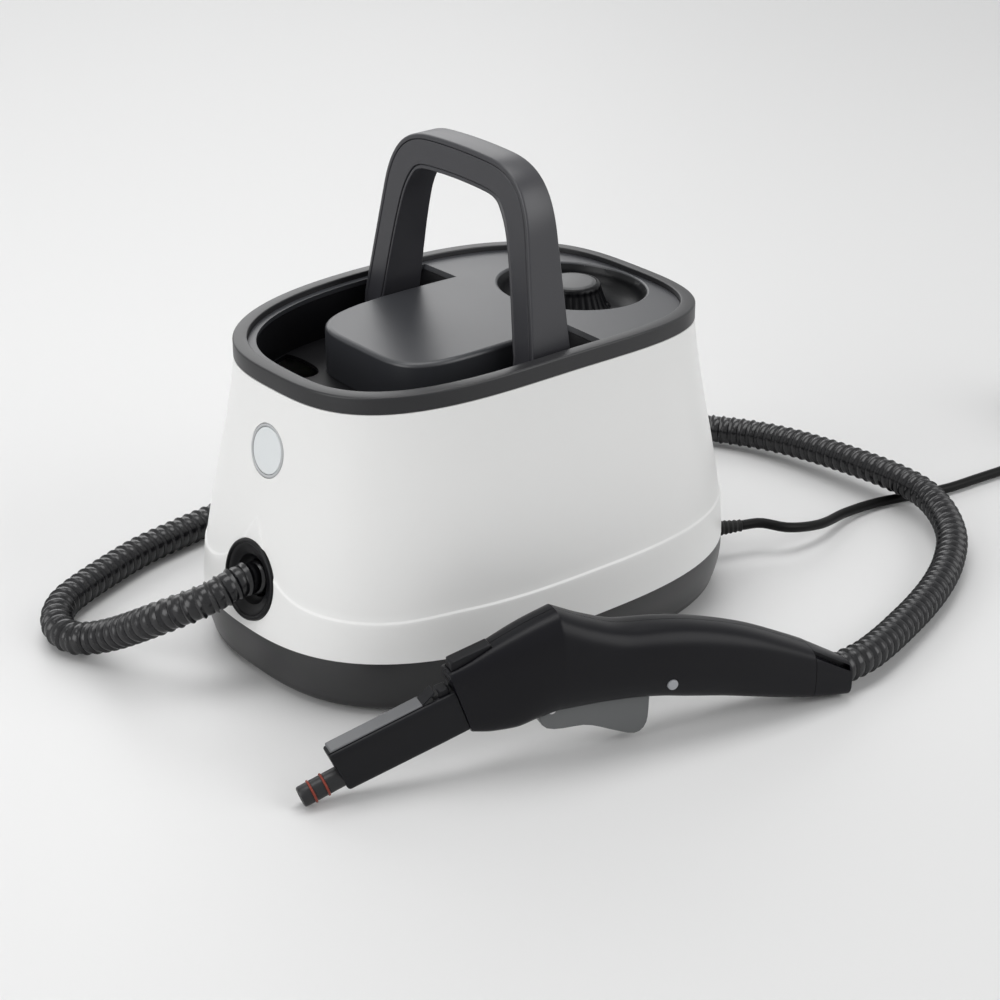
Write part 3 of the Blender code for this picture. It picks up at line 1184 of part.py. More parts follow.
def lead_exit():
    """Where the lead leaves the base pan, and its level direction outwards."""
    low = 0.0
    high = 1.0
    for _ in range(30):
        middle = (low + high) / 2
        if pan_point(LEAD_ANGLE, middle).z > LEAD_HEIGHT:
            low = middle
        else:
            high = middle
    place = pan_point(LEAD_ANGLE, low)
    nudge = 0.01
    along = pan_point(LEAD_ANGLE + nudge, low) - pan_point(LEAD_ANGLE - nudge, low)
    return place, Vector((along.y, -along.x, 0)).normalized()


def coil_points():
    """One unbroken lead that spirals in and out in layers, and climbs a layer in the half turn where it turns back."""
    points = []
    layer_steps = int(COIL_LOOPS_IN_LAYER * COIL_LOOP_POINTS)
    climb_steps = COIL_LOOP_POINTS // 2
    outer = COIL_INNER_RADIUS + COIL_STEP * COIL_LOOPS_IN_LAYER
    angle = COIL_START
    radius = outer
    height = LEAD_RADIUS + GAP
    turn = 2 * math.pi / COIL_LOOP_POINTS
    for layer in range(COIL_LAYERS):
        inwards = layer % 2 == 0
        for step in range(layer_steps):
            points.append(coil_place(angle, radius, height))
            angle -= turn
            radius += COIL_STEP / COIL_LOOP_POINTS * (-1 if inwards else 1)
        if layer == COIL_LAYERS - 1:
            break
        for step in range(climb_steps):
            share = step / climb_steps
            points.append(coil_place(angle, radius, height + COIL_STEP * smoothstep(share)))
            angle -= turn
            radius += COIL_STEP / COIL_LOOP_POINTS * (-1 if inwards == (share < 0.5) else 1)
        height += COIL_STEP
    rise = COIL_STEP / 2 + PLUG_HEIGHT / 2
    steps = COIL_LOOP_POINTS // 2 + 1
    for step in range(steps + 1):
        share = step / steps
        inward = smoothstep(max(0.0, 2 * share - 1)) * COIL_END_INWARD
        points.append(coil_place(angle, radius - inward, height + smoothstep(share) * rise))
        angle -= turn
        radius += COIL_STEP / COIL_LOOP_POINTS
    points.append(points[-1] + (points[-1] - points[-2]) * 0.5)
    points[-1].z = points[-2].z
    return points


def coil_place(angle, radius, height):
    return Vector((COIL_X + radius * math.cos(angle), COIL_Y + radius * math.sin(angle), height))


def least_gap(points, radius):
    """The least distance between two stretches of one tube that aren't neighbours along it."""
    apart = COIL_LOOP_POINTS // 2
    nearest = min((first - second).length for place, first in enumerate(points) for second in points[place + apart:])
    return nearest - 2 * radius


def mains_lead():
    place, out = lead_exit()
    profile = ((0, RELIEF_LENGTH), (RELIEF_TIP_RADIUS, RELIEF_LENGTH), (RELIEF_ROOT_RADIUS, RELIEF_FLANGE),
               (RELIEF_FLANGE_RADIUS, RELIEF_FLANGE), (RELIEF_FLANGE_RADIUS, GAP * 3), (RELIEF_ROOT_RADIUS, GAP * 3),
               (RELIEF_ROOT_RADIUS, -SHELL_WALL * 2), (0, -SHELL_WALL * 2))
    turned("strain_relief", profile, RUBBER, BODY, place, out, steps=12)
    start = place + out * (RELIEF_LENGTH + GAP)
    coil = coil_points()
    coil_start = coil[0]
    tangent = (coil[0] - coil[1]).normalized()
    tangent.z = 0.0
    route, length = even_points([start, start + out * LEAD_RADIUS * 4] + [Vector(point) for point in LEAD_ROUTE]
                                + [coil_start + tangent * (LEAD_RADIUS * 8), coil_start + tangent * LEAD_RADIUS * 2.5,
                                   coil_start + tangent * GAP], 26)
    tube("lead_run", route, LEAD_RADIUS, LEAD_BLACK, BODY)
    tube("lead_coil", coil, LEAD_RADIUS, LEAD_BLACK, BODY, 1)
    print("lead run length", round(length, 4))
    coil_length = sum((second - first).length for first, second in zip(coil, coil[1:]))
    print("lead coil length", round(coil_length, 4), "least gap", round(least_gap(coil, LEAD_RADIUS), 5))
    end = coil[-1]
    way = (coil[-1] - coil[-2]).normalized()
    return end, way


def mains_plug(end, way):
    """Plug body on top of the coil at the lead's end, with two round pins."""
    turn = math.atan2(way.y, way.x)
    holder = empty("plug_place", end + way * GAP, BODY, turn)
    half_width = PLUG_WIDTH / 2
    half_height = PLUG_HEIGHT / 2
    rings = []
    section_shares = ((0.0, 0.34), (0.35, 0.55), (0.5, 1.0), (1.0, 0.92))
    for along_share, share in section_shares:
        ring = []
        for x, y in outline(half_width * share, half_height * share, 3.0, count=14):
            ring.append(Vector((PLUG_BODY_LENGTH * along_share, x, y)))
        rings.append(ring)
    plug = loft("mains_plug", rings, LEAD_BLACK, holder)
    for side in (-1, 1):
        centre = side * PLUG_PIN_SPACING / 2
        join(plug, cylinder(f"plug_pin_{side}", PLUG_PIN_RADIUS, (PLUG_BODY_LENGTH * 0.9, centre, 0),
                            (PLUG_BODY_LENGTH + PLUG_PIN_LENGTH, centre, 0), None, holder, sides=10))


# Steam gun

def gun_ring(station, count=20):
    """One ring of the gun's outside: (along, bottom, top, half width, power, lean)."""
    along, low, high, half_width, power, lean = station
    middle = (low + high) / 2
    swing = math.tan(GUN_TAIL_SWING) * max(0.0, (along - GUN_TAIL_SEAM) / (GUN_END - GUN_TAIL_SEAM))
    points = []
    for across, z in outline(half_width, (high - low) / 2, power, count=count):
        points.append(Vector((along - lean * z - swing * across, across, middle + z)))
    return points


def gun_half_ring(station, side):
    """The near or far half of one ring, closed by the seam between the two shells."""
    half = []
    for point in gun_ring(station):
        if abs(point.y) < GAP / 2:
            point.y = side * GAP / 2
        if point.y * side > 0:
            half.append(point)
    half.sort(key=lambda point: math.atan2(point.z - (station[1] + station[2]) / 2, point.y * side))
    return half


def gun_station_at(along):
    for first, second in zip(GUN_STATIONS, GUN_STATIONS[1:]):
        if first[0] <= along <= second[0]:
            share = (along - first[0]) / (second[0] - first[0])
            return tuple(mix(a, b, share) for a, b in zip(first, second))
    return GUN_STATIONS[-1]


def gun_top(along):
    """The height of the gun's top line, whose stations lean."""
    line = [(station[0] - station[5] * (station[2] - station[1]) / 2, station[2]) for station in GUN_STATIONS]
    for first, second in zip(line, line[1:]):
        if first[0] <= along <= second[0]:
            return mix(first[1], second[1], (along - first[0]) / (second[0] - first[0]))
    return line[-1][1]


def gun_between(start, end):
    inside = [station for station in GUN_STATIONS if start + GAP * 4 < station[0] < end - GAP * 4]
    return [gun_station_at(start)] + inside + [gun_station_at(end)]


def straight_tube(name, start, valve_middle, from_start, from_valve, grow, finish, parent):
    """A steam tube, or its bore, on the line from one end of the gun to the middle of its valve."""
    way = (valve_middle - start).normalized()
    return cylinder(name, GUN_TUBE_RADIUS + grow, start + way * from_start, valve_middle - way * from_valve, finish,
                    parent, sides=8)


def gun():
    frame = empty("gun_frame", (GUN_X, GUN_Y, 0), BODY, GUN_ANGLE)
    tip = Vector((0, 0, SPIGOT_HEIGHT))
    way = Vector((math.cos(SPIGOT_SLOPE), 0, math.sin(SPIGOT_SLOPE)))
    spigot_end = tip + way * SPIGOT_LENGTH
    profile = [(SPIGOT_BORE, SPIGOT_LENGTH), (SPIGOT_RADIUS, SPIGOT_LENGTH)]
    for seal_share in reversed(SEAL_SHARES):
        place = SPIGOT_LENGTH * seal_share
        half = SEAL_TUBE + GAP
        profile += [(SPIGOT_RADIUS, place + half), (SPIGOT_RADIUS - GROOVE_DEPTH, place + half),
                    (SPIGOT_RADIUS - GROOVE_DEPTH, place - half), (SPIGOT_RADIUS, place - half)]
    profile += [(SPIGOT_RADIUS, GAP * 2), (SPIGOT_RADIUS - GAP * 2, 0), (SPIGOT_BORE, 0)]
    turned("nozzle_spigot", profile, SPIGOT_BLACK, frame, tip, way, steps=12)
    for name, seal_share in zip(("spigot_seal_front", "spigot_seal_rear"), SEAL_SHARES):
        place = SPIGOT_LENGTH * seal_share
        centre = SPIGOT_RADIUS - GROOVE_DEPTH + GAP + SEAL_TUBE
        ring = [(centre + SEAL_TUBE * math.cos(2 * math.pi * k / 5), place - SEAL_TUBE * math.sin(2 * math.pi * k / 5))
                for k in range(5)]
        turned(name, ring, SEAL_RED, frame, tip, way, steps=12)
    nose = loft("gun_nose", [gun_ring(station) for station in gun_between(GUN_STATIONS[0][0], GUN_SPLIT - GAP)],
                GUN_SLATE, frame)
    spigot_bore = cylinder("spigot_bore", SPIGOT_RADIUS + GAP, tip, spigot_end + way * GAP, None, frame, sides=20)
    valve_middle = Vector((GUN_VALVE_X, 0, GUN_VALVE_Z))
    tail_inside = Vector((GUN_END - SHELL_WALL * 4, 0, tail_height()))
    front_bore = straight_tube("front_tube_bore", spigot_end, valve_middle, -GAP * 2, GUN_VALVE_LENGTH / 4, GAP,
                               None, frame)
    rear_bore = straight_tube("rear_tube_bore", tail_inside, valve_middle, 0, GUN_VALVE_LENGTH / 4, GAP, None, frame)
    to_valve = GUN_VALVE_LENGTH / 2 + GUN_TUBE_RADIUS / 2 + GAP
    notch_low = gun_top(SLOT_FROM) - SLOT_DEPTH
    notch = box("nose_notch", (SLOT_FROM, -SLOT_HALF_WIDTH, notch_low),
                (SLOT_TO, SLOT_HALF_WIDTH, notch_low + OVERRUN), None, frame)
    pocket = release_block("release_pocket", LATCH_CLEARANCE, BUTTON_SLIDE + GAP, None, frame)
    cut(nose, spigot_bore, front_bore, notch, pocket)
    straight_tube("gun_tube_front", spigot_end, valve_middle, GUN_TUBE_RADIUS / 4, to_valve, 0, COPPER, frame)
    straight_tube("gun_tube_rear", tail_inside, valve_middle, GAP, to_valve, 0, COPPER, frame)
    slot = trigger_slot(frame)
    valve_room = box("valve_room", (GUN_VALVE_X - GUN_VALVE_LENGTH / 2 - GAP, -GUN_VALVE_HALF_WIDTH - GAP,
                                    SLOT_ROOF - GAP),
                     (GUN_VALVE_X + GUN_VALVE_LENGTH / 2 + GAP, GUN_VALVE_HALF_WIDTH + GAP,
                      GUN_VALVE_Z + GUN_VALVE_HEIGHT / 2 + GAP), None, frame)
    reach = LOCK_HALF_LENGTH + OVERRUN
    lock_bore = cylinder("lock_bore", LOCK_RADIUS + GAP, (LOCK_X, -reach, LOCK_Z), (LOCK_X, reach, LOCK_Z), None,
                         frame, sides=16)
    pin_bore = cylinder("trigger_pin_bore", TRIGGER_PIN_RADIUS + GAP,
                        (TRIGGER_PIVOT_X, -TRIGGER_PIN_HALF_LENGTH - GAP, TRIGGER_PIVOT_Z),
                        (TRIGGER_PIVOT_X, TRIGGER_PIN_HALF_LENGTH + GAP, TRIGGER_PIVOT_Z), None, frame, sides=12)
    for name, side in (("gun_shell_near", -1), ("gun_shell_far", 1)):
        stations = gun_between(GUN_SPLIT, GUN_TAIL_SEAM - GAP)
        half = loft(name, [gun_half_ring(station, side) for station in stations], GUN_BLACK, frame)
        cut(half, valve_room, slot, front_bore, rear_bore, pocket, lock_bore, pin_bore)
    tail = loft("gun_tail_collar", [gun_ring(station) for station in gun_between(GUN_TAIL_SEAM, GUN_END)],
                GUN_BLACK, frame)
    cut(tail, rear_bore)
    release_block("release_button", 0.0, 0.0, GUN_SLATE, frame)
    valve = box("gun_valve", valve_middle - Vector((GUN_VALVE_LENGTH / 2, GUN_VALVE_HALF_WIDTH, GUN_VALVE_HEIGHT / 2)),
                valve_middle + Vector((GUN_VALVE_LENGTH / 2, GUN_VALVE_HALF_WIDTH, GUN_VALVE_HEIGHT / 2)), BRASS, frame)
    stem_low = TRIGGER_PIVOT_Z + TRIGGER_TOP + GAP
    cut(valve, cylinder("stem_bore", STEM_RADIUS + GAP, (GUN_VALVE_X, 0, stem_low), (GUN_VALVE_X, 0, STEM_BORE_TOP),
                        None, frame, sides=12))
    stem = cylinder("valve_stem", STEM_RADIUS, (GUN_VALVE_X, 0, stem_low), (GUN_VALVE_X, 0, STEM_TOP), STEEL, frame,
                    sides=10)
    move_origin(stem, (GUN_VALVE_X, 0, stem_low))
    lever = trigger(frame)
    cut(lever, cylinder("trigger_bore", TRIGGER_PIN_RADIUS + GAP, (TRIGGER_PIVOT_X, -OVERRUN, TRIGGER_PIVOT_Z),
                        (TRIGGER_PIVOT_X, OVERRUN, TRIGGER_PIVOT_Z), None, frame, sides=12))
    move_origin(lever, (TRIGGER_PIVOT_X, 0, TRIGGER_PIVOT_Z))
    cylinder("trigger_pin", TRIGGER_PIN_RADIUS, (TRIGGER_PIVOT_X, -TRIGGER_PIN_HALF_LENGTH, TRIGGER_PIVOT_Z),
             (TRIGGER_PIVOT_X, TRIGGER_PIN_HALF_LENGTH, TRIGGER_PIVOT_Z), STEEL, frame, sides=12)
    lock = cylinder("trigger_lock", LOCK_RADIUS, (LOCK_X, -LOCK_HALF_LENGTH, LOCK_Z),
                    (LOCK_X, LOCK_HALF_LENGTH, LOCK_Z), LOCK_GREY, frame, sides=16)
    move_origin(lock, (LOCK_X, 0, LOCK_Z))


def release_block(name, grow, deeper, finish, parent):
    """The hose-tool release button, whose top follows the slope of the gun between nose and hump."""
    front = RELEASE_FRONT - grow
    rear = RELEASE_REAR + grow
    half_width = RELEASE_HALF_WIDTH + grow
    top_front = gun_top(RELEASE_FRONT)
    top_rear = gun_top(rear)
    rings = []
    for along, top, rise in ((front, top_front, RELEASE_FRONT_RISE), (rear, top_rear, RELEASE_REAR_RISE)):
        low = top - RELEASE_SINK - deeper
        high = top + (OVERRUN if finish is None else rise)
        rings.append([Vector((along, -half_width, low)), Vector((along, half_width, low)),
                      Vector((along, half_width, high)), Vector((along, -half_width, high))])
    made = loft(name, rings, finish, parent)
    if finish is not None:
        bevel_edges(made, GAP * 4)
        move_origin(made, ((front + rear) / 2, 0, top_front))
    return made


def trigger(parent):
    """Finger lever: an outline in the gun's middle plane, as wide as the slot allows."""
    rings = []
    for y in (-TRIGGER_HALF_WIDTH, TRIGGER_HALF_WIDTH):
        rings.append([Vector((TRIGGER_PIVOT_X + along * TRIGGER_LENGTH, y, TRIGGER_PIVOT_Z + up * TRIGGER_DROP))
                      for along, up in TRIGGER_SIDE_SHARES])
    made = loft("trigger", rings, GUN_GREY, parent)
    bevel_edges(made, TRIGGER_HALF_WIDTH / 5)
    return made


def trigger_slot(frame):
    half = TRIGGER_HALF_WIDTH + TRIGGER_SIDE_CLEARANCE
    front = TRIGGER_PIVOT_X - TRIGGER_EYE - TRIGGER_SIDE_CLEARANCE
    rear = TRIGGER_END + TRIGGER_SIDE_CLEARANCE * 2
    roof_front = TRIGGER_PIVOT_Z + TRIGGER_EYE + TRIGGER_SIDE_CLEARANCE
    side = ((front, -OVERRUN), (rear, -OVERRUN), (rear, SLOT_ROOF), (front + OVERRUN, SLOT_ROOF), (front, roof_front))
    rings = [[Vector((x, y, z)) for x, z in side] for y in (-half, half)]
    return loft("trigger_slot", rings, None, frame)


clear_scene()
PARTS = collection("steam_cleaner")
CUTTERS = collection("cutters")

WHITE = material("white_plastic", (0.86, 0.86, 0.85), 0.35)
BASE_GREY = material("base_plastic", (0.05, 0.05, 0.055), 0.5)
RIM_GREY = material("rim_plastic", (0.06, 0.06, 0.065), 0.42)
DECK_GREY = material("deck_plastic", (0.045, 0.045, 0.05), 0.45)
TRAY_BLACK = material("tray_plastic", (0.02, 0.02, 0.022), 0.5)
HANDLE_GREY = material("handle_plastic", (0.045, 0.045, 0.05), 0.45)
CAP_BLACK = material("cap_plastic", (0.02, 0.02, 0.022), 0.4)
CAP_GREY = material("cap_disc_plastic", (0.12, 0.12, 0.125), 0.4)
GLAND_BLACK = material("gland_plastic", (0.03, 0.03, 0.032), 0.4)
TRIM_GREY = material("bezel_plastic", (0.55, 0.56, 0.57), 0.4)
BUTTON_GREY = material("button_plastic", (0.50, 0.52, 0.54), 0.45)
HOSE_BLACK = material("hose_plastic", (0.015, 0.015, 0.017), 0.25)
LEAD_BLACK = material("lead_plastic", (0.02, 0.02, 0.02), 0.45)
RUBBER = material("foot_rubber", (0.03, 0.03, 0.03), 0.8)
SEAL_RED = material("seal_rubber", (0.45, 0.10, 0.05), 0.5)
SPIGOT_BLACK = material("spigot_plastic", (0.02, 0.02, 0.022), 0.4)
GUN_BLACK = material("gun_plastic", (0.02, 0.02, 0.023), 0.45)
GUN_SLATE = material("nose_plastic", (0.035, 0.037, 0.042), 0.45)
GUN_GREY = material("trigger_plastic", (0.13, 0.135, 0.14), 0.45)
LOCK_GREY = material("lock_plastic", (0.45, 0.46, 0.48), 0.4)
STEEL = material("steel", (0.6, 0.6, 0.6), 0.3, 1.0)
HEATER_STEEL = material("heater_steel", (0.35, 0.33, 0.32), 0.4, 1.0)
BRASS = material("brass", (0.75, 0.6, 0.3), 0.3, 1.0)
COPPER = material("copper", (0.8, 0.45, 0.3), 0.3, 1.0)
PHENOLIC = material("phenolic", (0.12, 0.08, 0.06), 0.5)
BOARD_GREEN = material("board_laminate", (0.05, 0.25, 0.1), 0.5)

BODY = empty("body_centre", (BODY_X, BODY_Y, 0))
outer_shell()
base_pan()
feet()
top_rim()
top_deck()
channel_tray()
handle()
filler_cap()
boiler()
steam_circuit()
control_board()
power_button()
hose_gland()
steam_hose()
mains_plug(*mains_lead())
gun()
print("steam cleaner made")
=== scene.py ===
import math
import bmesh
import bpy
from mathutils import Matrix, Vector


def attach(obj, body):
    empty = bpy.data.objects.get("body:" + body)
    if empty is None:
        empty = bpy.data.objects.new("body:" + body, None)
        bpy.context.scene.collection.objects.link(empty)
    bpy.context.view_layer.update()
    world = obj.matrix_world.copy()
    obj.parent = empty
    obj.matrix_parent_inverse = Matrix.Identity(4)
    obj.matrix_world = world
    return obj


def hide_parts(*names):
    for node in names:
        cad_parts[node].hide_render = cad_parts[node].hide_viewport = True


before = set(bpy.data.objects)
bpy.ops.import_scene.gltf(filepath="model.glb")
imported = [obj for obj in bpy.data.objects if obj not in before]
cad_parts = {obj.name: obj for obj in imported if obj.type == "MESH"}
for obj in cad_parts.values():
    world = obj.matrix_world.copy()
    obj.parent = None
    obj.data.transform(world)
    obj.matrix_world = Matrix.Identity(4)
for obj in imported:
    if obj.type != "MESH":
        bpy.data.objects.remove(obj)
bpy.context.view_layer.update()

body = {"x": 0.0247, "y": 0.0602}          # middle of the machine on the floor
gap = 0.0003                               # between pieces that touch
reachOut = 0.02                            # how far a cutter stands past what it cuts
nudge = 0.01                               # step for a slope on the outline
curveSteps = 24                            # fine steps between two points of a route
roundSides = 96                            # sides of the larger round pieces
halvings = 30                              # steps in the search for a height


def fromBody(point):
    return Vector((point[0] + body["x"], point[1] + body["y"], point[2]))


def newPiece(name, data):
    made = bpy.data.objects.new(name, data)
    bpy.context.scene.collection.objects.link(made)
    return made


def mix(first, second, share):
    return first + (second - first) * share


def take(facts, *names):
    return [facts[name] for name in names]


def smoothShare(share):
    share = min(1.0, max(0.0, share))
    return share * share * (3 - 2 * share)


# camera, floor and lamps

camera = {"place": (-0.8174, -1.0080, 0.7146), "turn": (64.602, 0.08, -38.907), "lens": 85.06,
          "shift": (0.010, -0.001), "sensor": 36, "farthest": 40}
lamps = {
    "topLamp": {"place": (0.0, 0.3, 2.2), "size": (2.4, 1.0), "power": 24},
    "sheenLamp": {"place": (0.9, 2.5, 1.4), "size": (2.4, 1.4), "power": 20},
    "leftLamp": {"place": (-2.6, 0.1, 1.2), "size": (1.9, 1.7), "power": 31},
    "nearLamp": {"place": (1.5, -2.5, 1.8), "size": (2.6, 2.2), "power": 43},
}
lampAim = (0.0, 0.0, 0.1)
paleRoom = {"floorColor": (0.79, 0.79, 0.788), "worldColor": (0.86, 0.865, 0.87), "shownLight": 0.83,
            "diffuseLight": 0.27, "floorSize": 24, "floorDrop": 0.0004, "floorRoughness": 0.5,
            "fadeFrom": 1.3, "fadeTo": 3.4}


def makeCamera():
    data = bpy.data.cameras.new("photoCamera")
    data.lens = camera["lens"]
    data.sensor_width = camera["sensor"]
    data.shift_x, data.shift_y = camera["shift"]
    data.clip_end = camera["farthest"]
    made = newPiece("photoCamera", data)
    made.location = camera["place"]
    made.rotation_euler = [math.radians(angle) for angle in camera["turn"]]
    bpy.context.scene.camera = made


def makeLamps():
    for name, lamp in lamps.items():
        data = bpy.data.lights.new(name, "AREA")
        data.shape = "RECTANGLE"
        data.size, data.size_y = lamp["size"]
        data.energy = lamp["power"]
        made = newPiece(name, data)
        made.location = lamp["place"]
        way = Vector(lampAim) - Vector(lamp["place"])
        made.rotation_euler = way.to_track_quat("-Z", "Y").to_euler()


def addNode(tree, kind, inputs=None, **settings):
    made = tree.nodes.new(kind)
    for name, value in settings.items():
        setattr(made, name, value)
    for name, value in (inputs or {}).items():
        if isinstance(value, bpy.types.NodeSocket):
            tree.links.new(value, made.inputs[name])
        else:
            made.inputs[name].default_value = value
    return made


# 1 where the camera sees the surface straight, in a reflection or through glass
def shownRays(tree):
    rays = addNode(tree, "ShaderNodeLightPath").outputs
    shown = rays["Is Camera Ray"]
    for other in ("Is Glossy Ray", "Is Transmission Ray"):
        shown = addNode(tree, "ShaderNodeMath", {0: shown, 1: rays[other]}, operation="MAXIMUM").outputs["Value"]
    return shown


def makeRoom():
    color, shown = (*paleRoom["worldColor"], 1), paleRoom["shownLight"]
    world = bpy.data.worlds.new("softRoom")
    bpy.context.scene.world = world
    world.use_nodes = True
    tree = world.node_tree
    light = addNode(tree, "ShaderNodeMapRange", {"Value": shownRays(tree), "To Min": paleRoom["diffuseLight"],
                                                 "To Max": shown})
    back = tree.nodes["Background"]
    back.inputs["Color"].default_value = color
    tree.links.new(light.outputs["Result"], back.inputs["Strength"])
    bpy.ops.mesh.primitive_plane_add(size=paleRoom["floorSize"], location=(0, 0, -paleRoom["floorDrop"]))
    floor = bpy.context.object
    floor.name = "paleFloor"
    finish = bpy.data.materials.new("paleFloor")
    finish.use_nodes = True
    tree = finish.node_tree
    shader = tree.nodes["Principled BSDF"]
    shader.inputs["Base Color"].default_value = (*paleRoom["floorColor"], 1)
    shader.inputs["Roughness"].default_value = paleRoom["floorRoughness"]
    place = addNode(tree, "ShaderNodeTexCoord").outputs["Object"]
    away = addNode(tree, "ShaderNodeVectorMath", {0: place}, operation="LENGTH").outputs["Value"]
    far = addNode(tree, "ShaderNodeMapRange", {"Value": away, "From Min": paleRoom["fadeFrom"],
                                               "From Max": paleRoom["fadeTo"]}, interpolation_type="SMOOTHSTEP")
    # near the object the floor is lit, far away it glows as the backdrop does
    both = addNode(tree, "ShaderNodeMath", {0: far.outputs["Result"], 1: shownRays(tree)}, operation="MULTIPLY")
    glow = addNode(tree, "ShaderNodeEmission", {"Color": color, "Strength": shown})
    blend = addNode(tree, "ShaderNodeMixShader", {0: both.outputs["Value"], 1: shader.outputs["BSDF"],
                                                  2: glow.outputs["Emission"]})
    tree.links.new(blend.outputs["Shader"], tree.nodes["Material Output"].inputs["Surface"])
    floor.data.materials.append(finish)


makeCamera()
makeLamps()
makeRoom()
bpy.context.scene.view_settings.view_transform = "Standard"
print("camera, lamps and floor are set")


# mesh helpers

def pick(piece):
    bpy.ops.object.select_all(action="DESELECT")
    piece.select_set(True)
    bpy.context.view_layer.objects.active = piece


def stand(piece, body, *nodes):
    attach(piece, body)
    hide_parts(*nodes)


def smoothPiece(piece, degrees=35):
    pick(piece)
    bpy.ops.object.shade_smooth_by_angle(angle=math.radians(degrees))


# faces from each ring of points to the next, closed by end faces or into a ring
def skin(name, rings, ringShaped=False, degrees=35):
    mesh = bmesh.new()
    rows = [[mesh.verts.new(point) for point in ring] for ring in rings]
    count = len(rows[0])
    pairs = list(zip(rows, rows[1:]))
    if ringShaped:
        pairs.append((rows[-1], rows[0]))
    else:
        mesh.faces.new(rows[0][::-1])
        mesh.faces.new(rows[-1])
    for lower, upper in pairs:
        for step in range(count):
            after = (step + 1) % count
            mesh.faces.new((lower[step], lower[after], upper[after], upper[step]))
    bmesh.ops.remove_doubles(mesh, verts=mesh.verts, dist=1e-7)
    bmesh.ops.recalc_face_normals(mesh, faces=mesh.faces)
    data = bpy.data.meshes.new(name)
    mesh.to_mesh(data)
    mesh.free()
    piece = newPiece(name, data)
    smoothPiece(piece, degrees)
    return piece


# a profile of radius and height, spun about an axis that starts at place
def spun(name, profile, place, axis=(0, 0, 1), steps=72, degrees=35):
    data = bpy.data.meshes.new(name)
    closed = profile[0][0] > 0 or profile[-1][0] > 0
    edges = [(step, step + 1) for step in range(len(profile) - 1)]
    if closed:
        edges.append((len(profile) - 1, 0))
    data.from_pydata([(radius, 0.0, height) for radius, height in profile], edges, [])
    piece = newPiece(name, data)
    pick(piece)
    bpy.ops.object.mode_set(mode="EDIT")
    bpy.ops.mesh.select_all(action="SELECT")
    bpy.ops.mesh.spin(steps=steps, angle=2 * math.pi, center=(0, 0, 0), axis=(0, 0, 1))
    bpy.ops.mesh.select_all(action="SELECT")
    bpy.ops.mesh.remove_doubles(threshold=1e-6)
    bpy.ops.mesh.normals_make_consistent(inside=False)
    bpy.ops.object.mode_set(mode="OBJECT")
    turn = Vector((0, 0, 1)).rotation_difference(Vector(axis)).to_matrix().to_4x4()
    piece.data.transform(Matrix.Translation(Vector(place)) @ turn)
    smoothPiece(piece, degrees)
    return piece


# cuts each cutter out of the piece, or joins or limits it, and removes the cutter
def carve(piece, *cutters, operation="DIFFERENCE", degrees=35):
    for cutter in cutters:
        step = piece.modifiers.new("carve", "BOOLEAN")
        step.operation = operation
        step.solver = "EXACT"
        step.object = cutter
        pick(piece)
        bpy.ops.object.modifier_apply(modifier=step.name)
        data = cutter.data
        bpy.data.objects.remove(cutter, do_unlink=True)
        bpy.data.meshes.remove(data)
    smoothPiece(piece, degrees)


def rod(name, radius, start, end, sides=48):
    start, end = Vector(start), Vector(end)
    bpy.ops.object.select_all(action="DESELECT")
    bpy.ops.mesh.primitive_cylinder_add(vertices=sides, radius=radius, depth=(end - start).length)
    piece = bpy.context.object
    piece.name = name
    turn = Vector((0, 0, 1)).rotation_difference(end - start).to_matrix().to_4x4()
    piece.data.transform(Matrix.Translation((start + end) / 2) @ turn)
    return piece


def brick(name, low, high):
    low, high = Vector(low), Vector(high)
    bpy.ops.object.select_all(action="DESELECT")
    bpy.ops.mesh.primitive_cube_add(size=1)
    piece = bpy.context.object
    piece.name = name
    piece.data.transform(Matrix.Translation((low + high) / 2) @ Matrix.Diagonal((*(high - low), 1)))
    return piece


def bevelEdges(piece, width, segments=3, degrees=30):
    step = piece.modifiers.new("edges", "BEVEL")
    step.width = width
    step.segments = segments
    step.limit_method = "ANGLE"
    step.angle_limit = math.radians(degrees)
    pick(piece)
    bpy.ops.object.modifier_apply(modifier=step.name)
    smoothPiece(piece)


def through(name, radius, place, axis, reach, sides):
    place, axis = Vector(place), Vector(axis)
    return rod(name, radius, fromBody(place - axis * reach), fromBody(place + axis * reach), sides)


# sines and cosines of a rounded edge
def quarterTurn(steps):
    bends = [math.pi / 2 * step / steps for step in range(steps + 1)]
    return [(math.sin(bend), math.cos(bend)) for bend in bends]


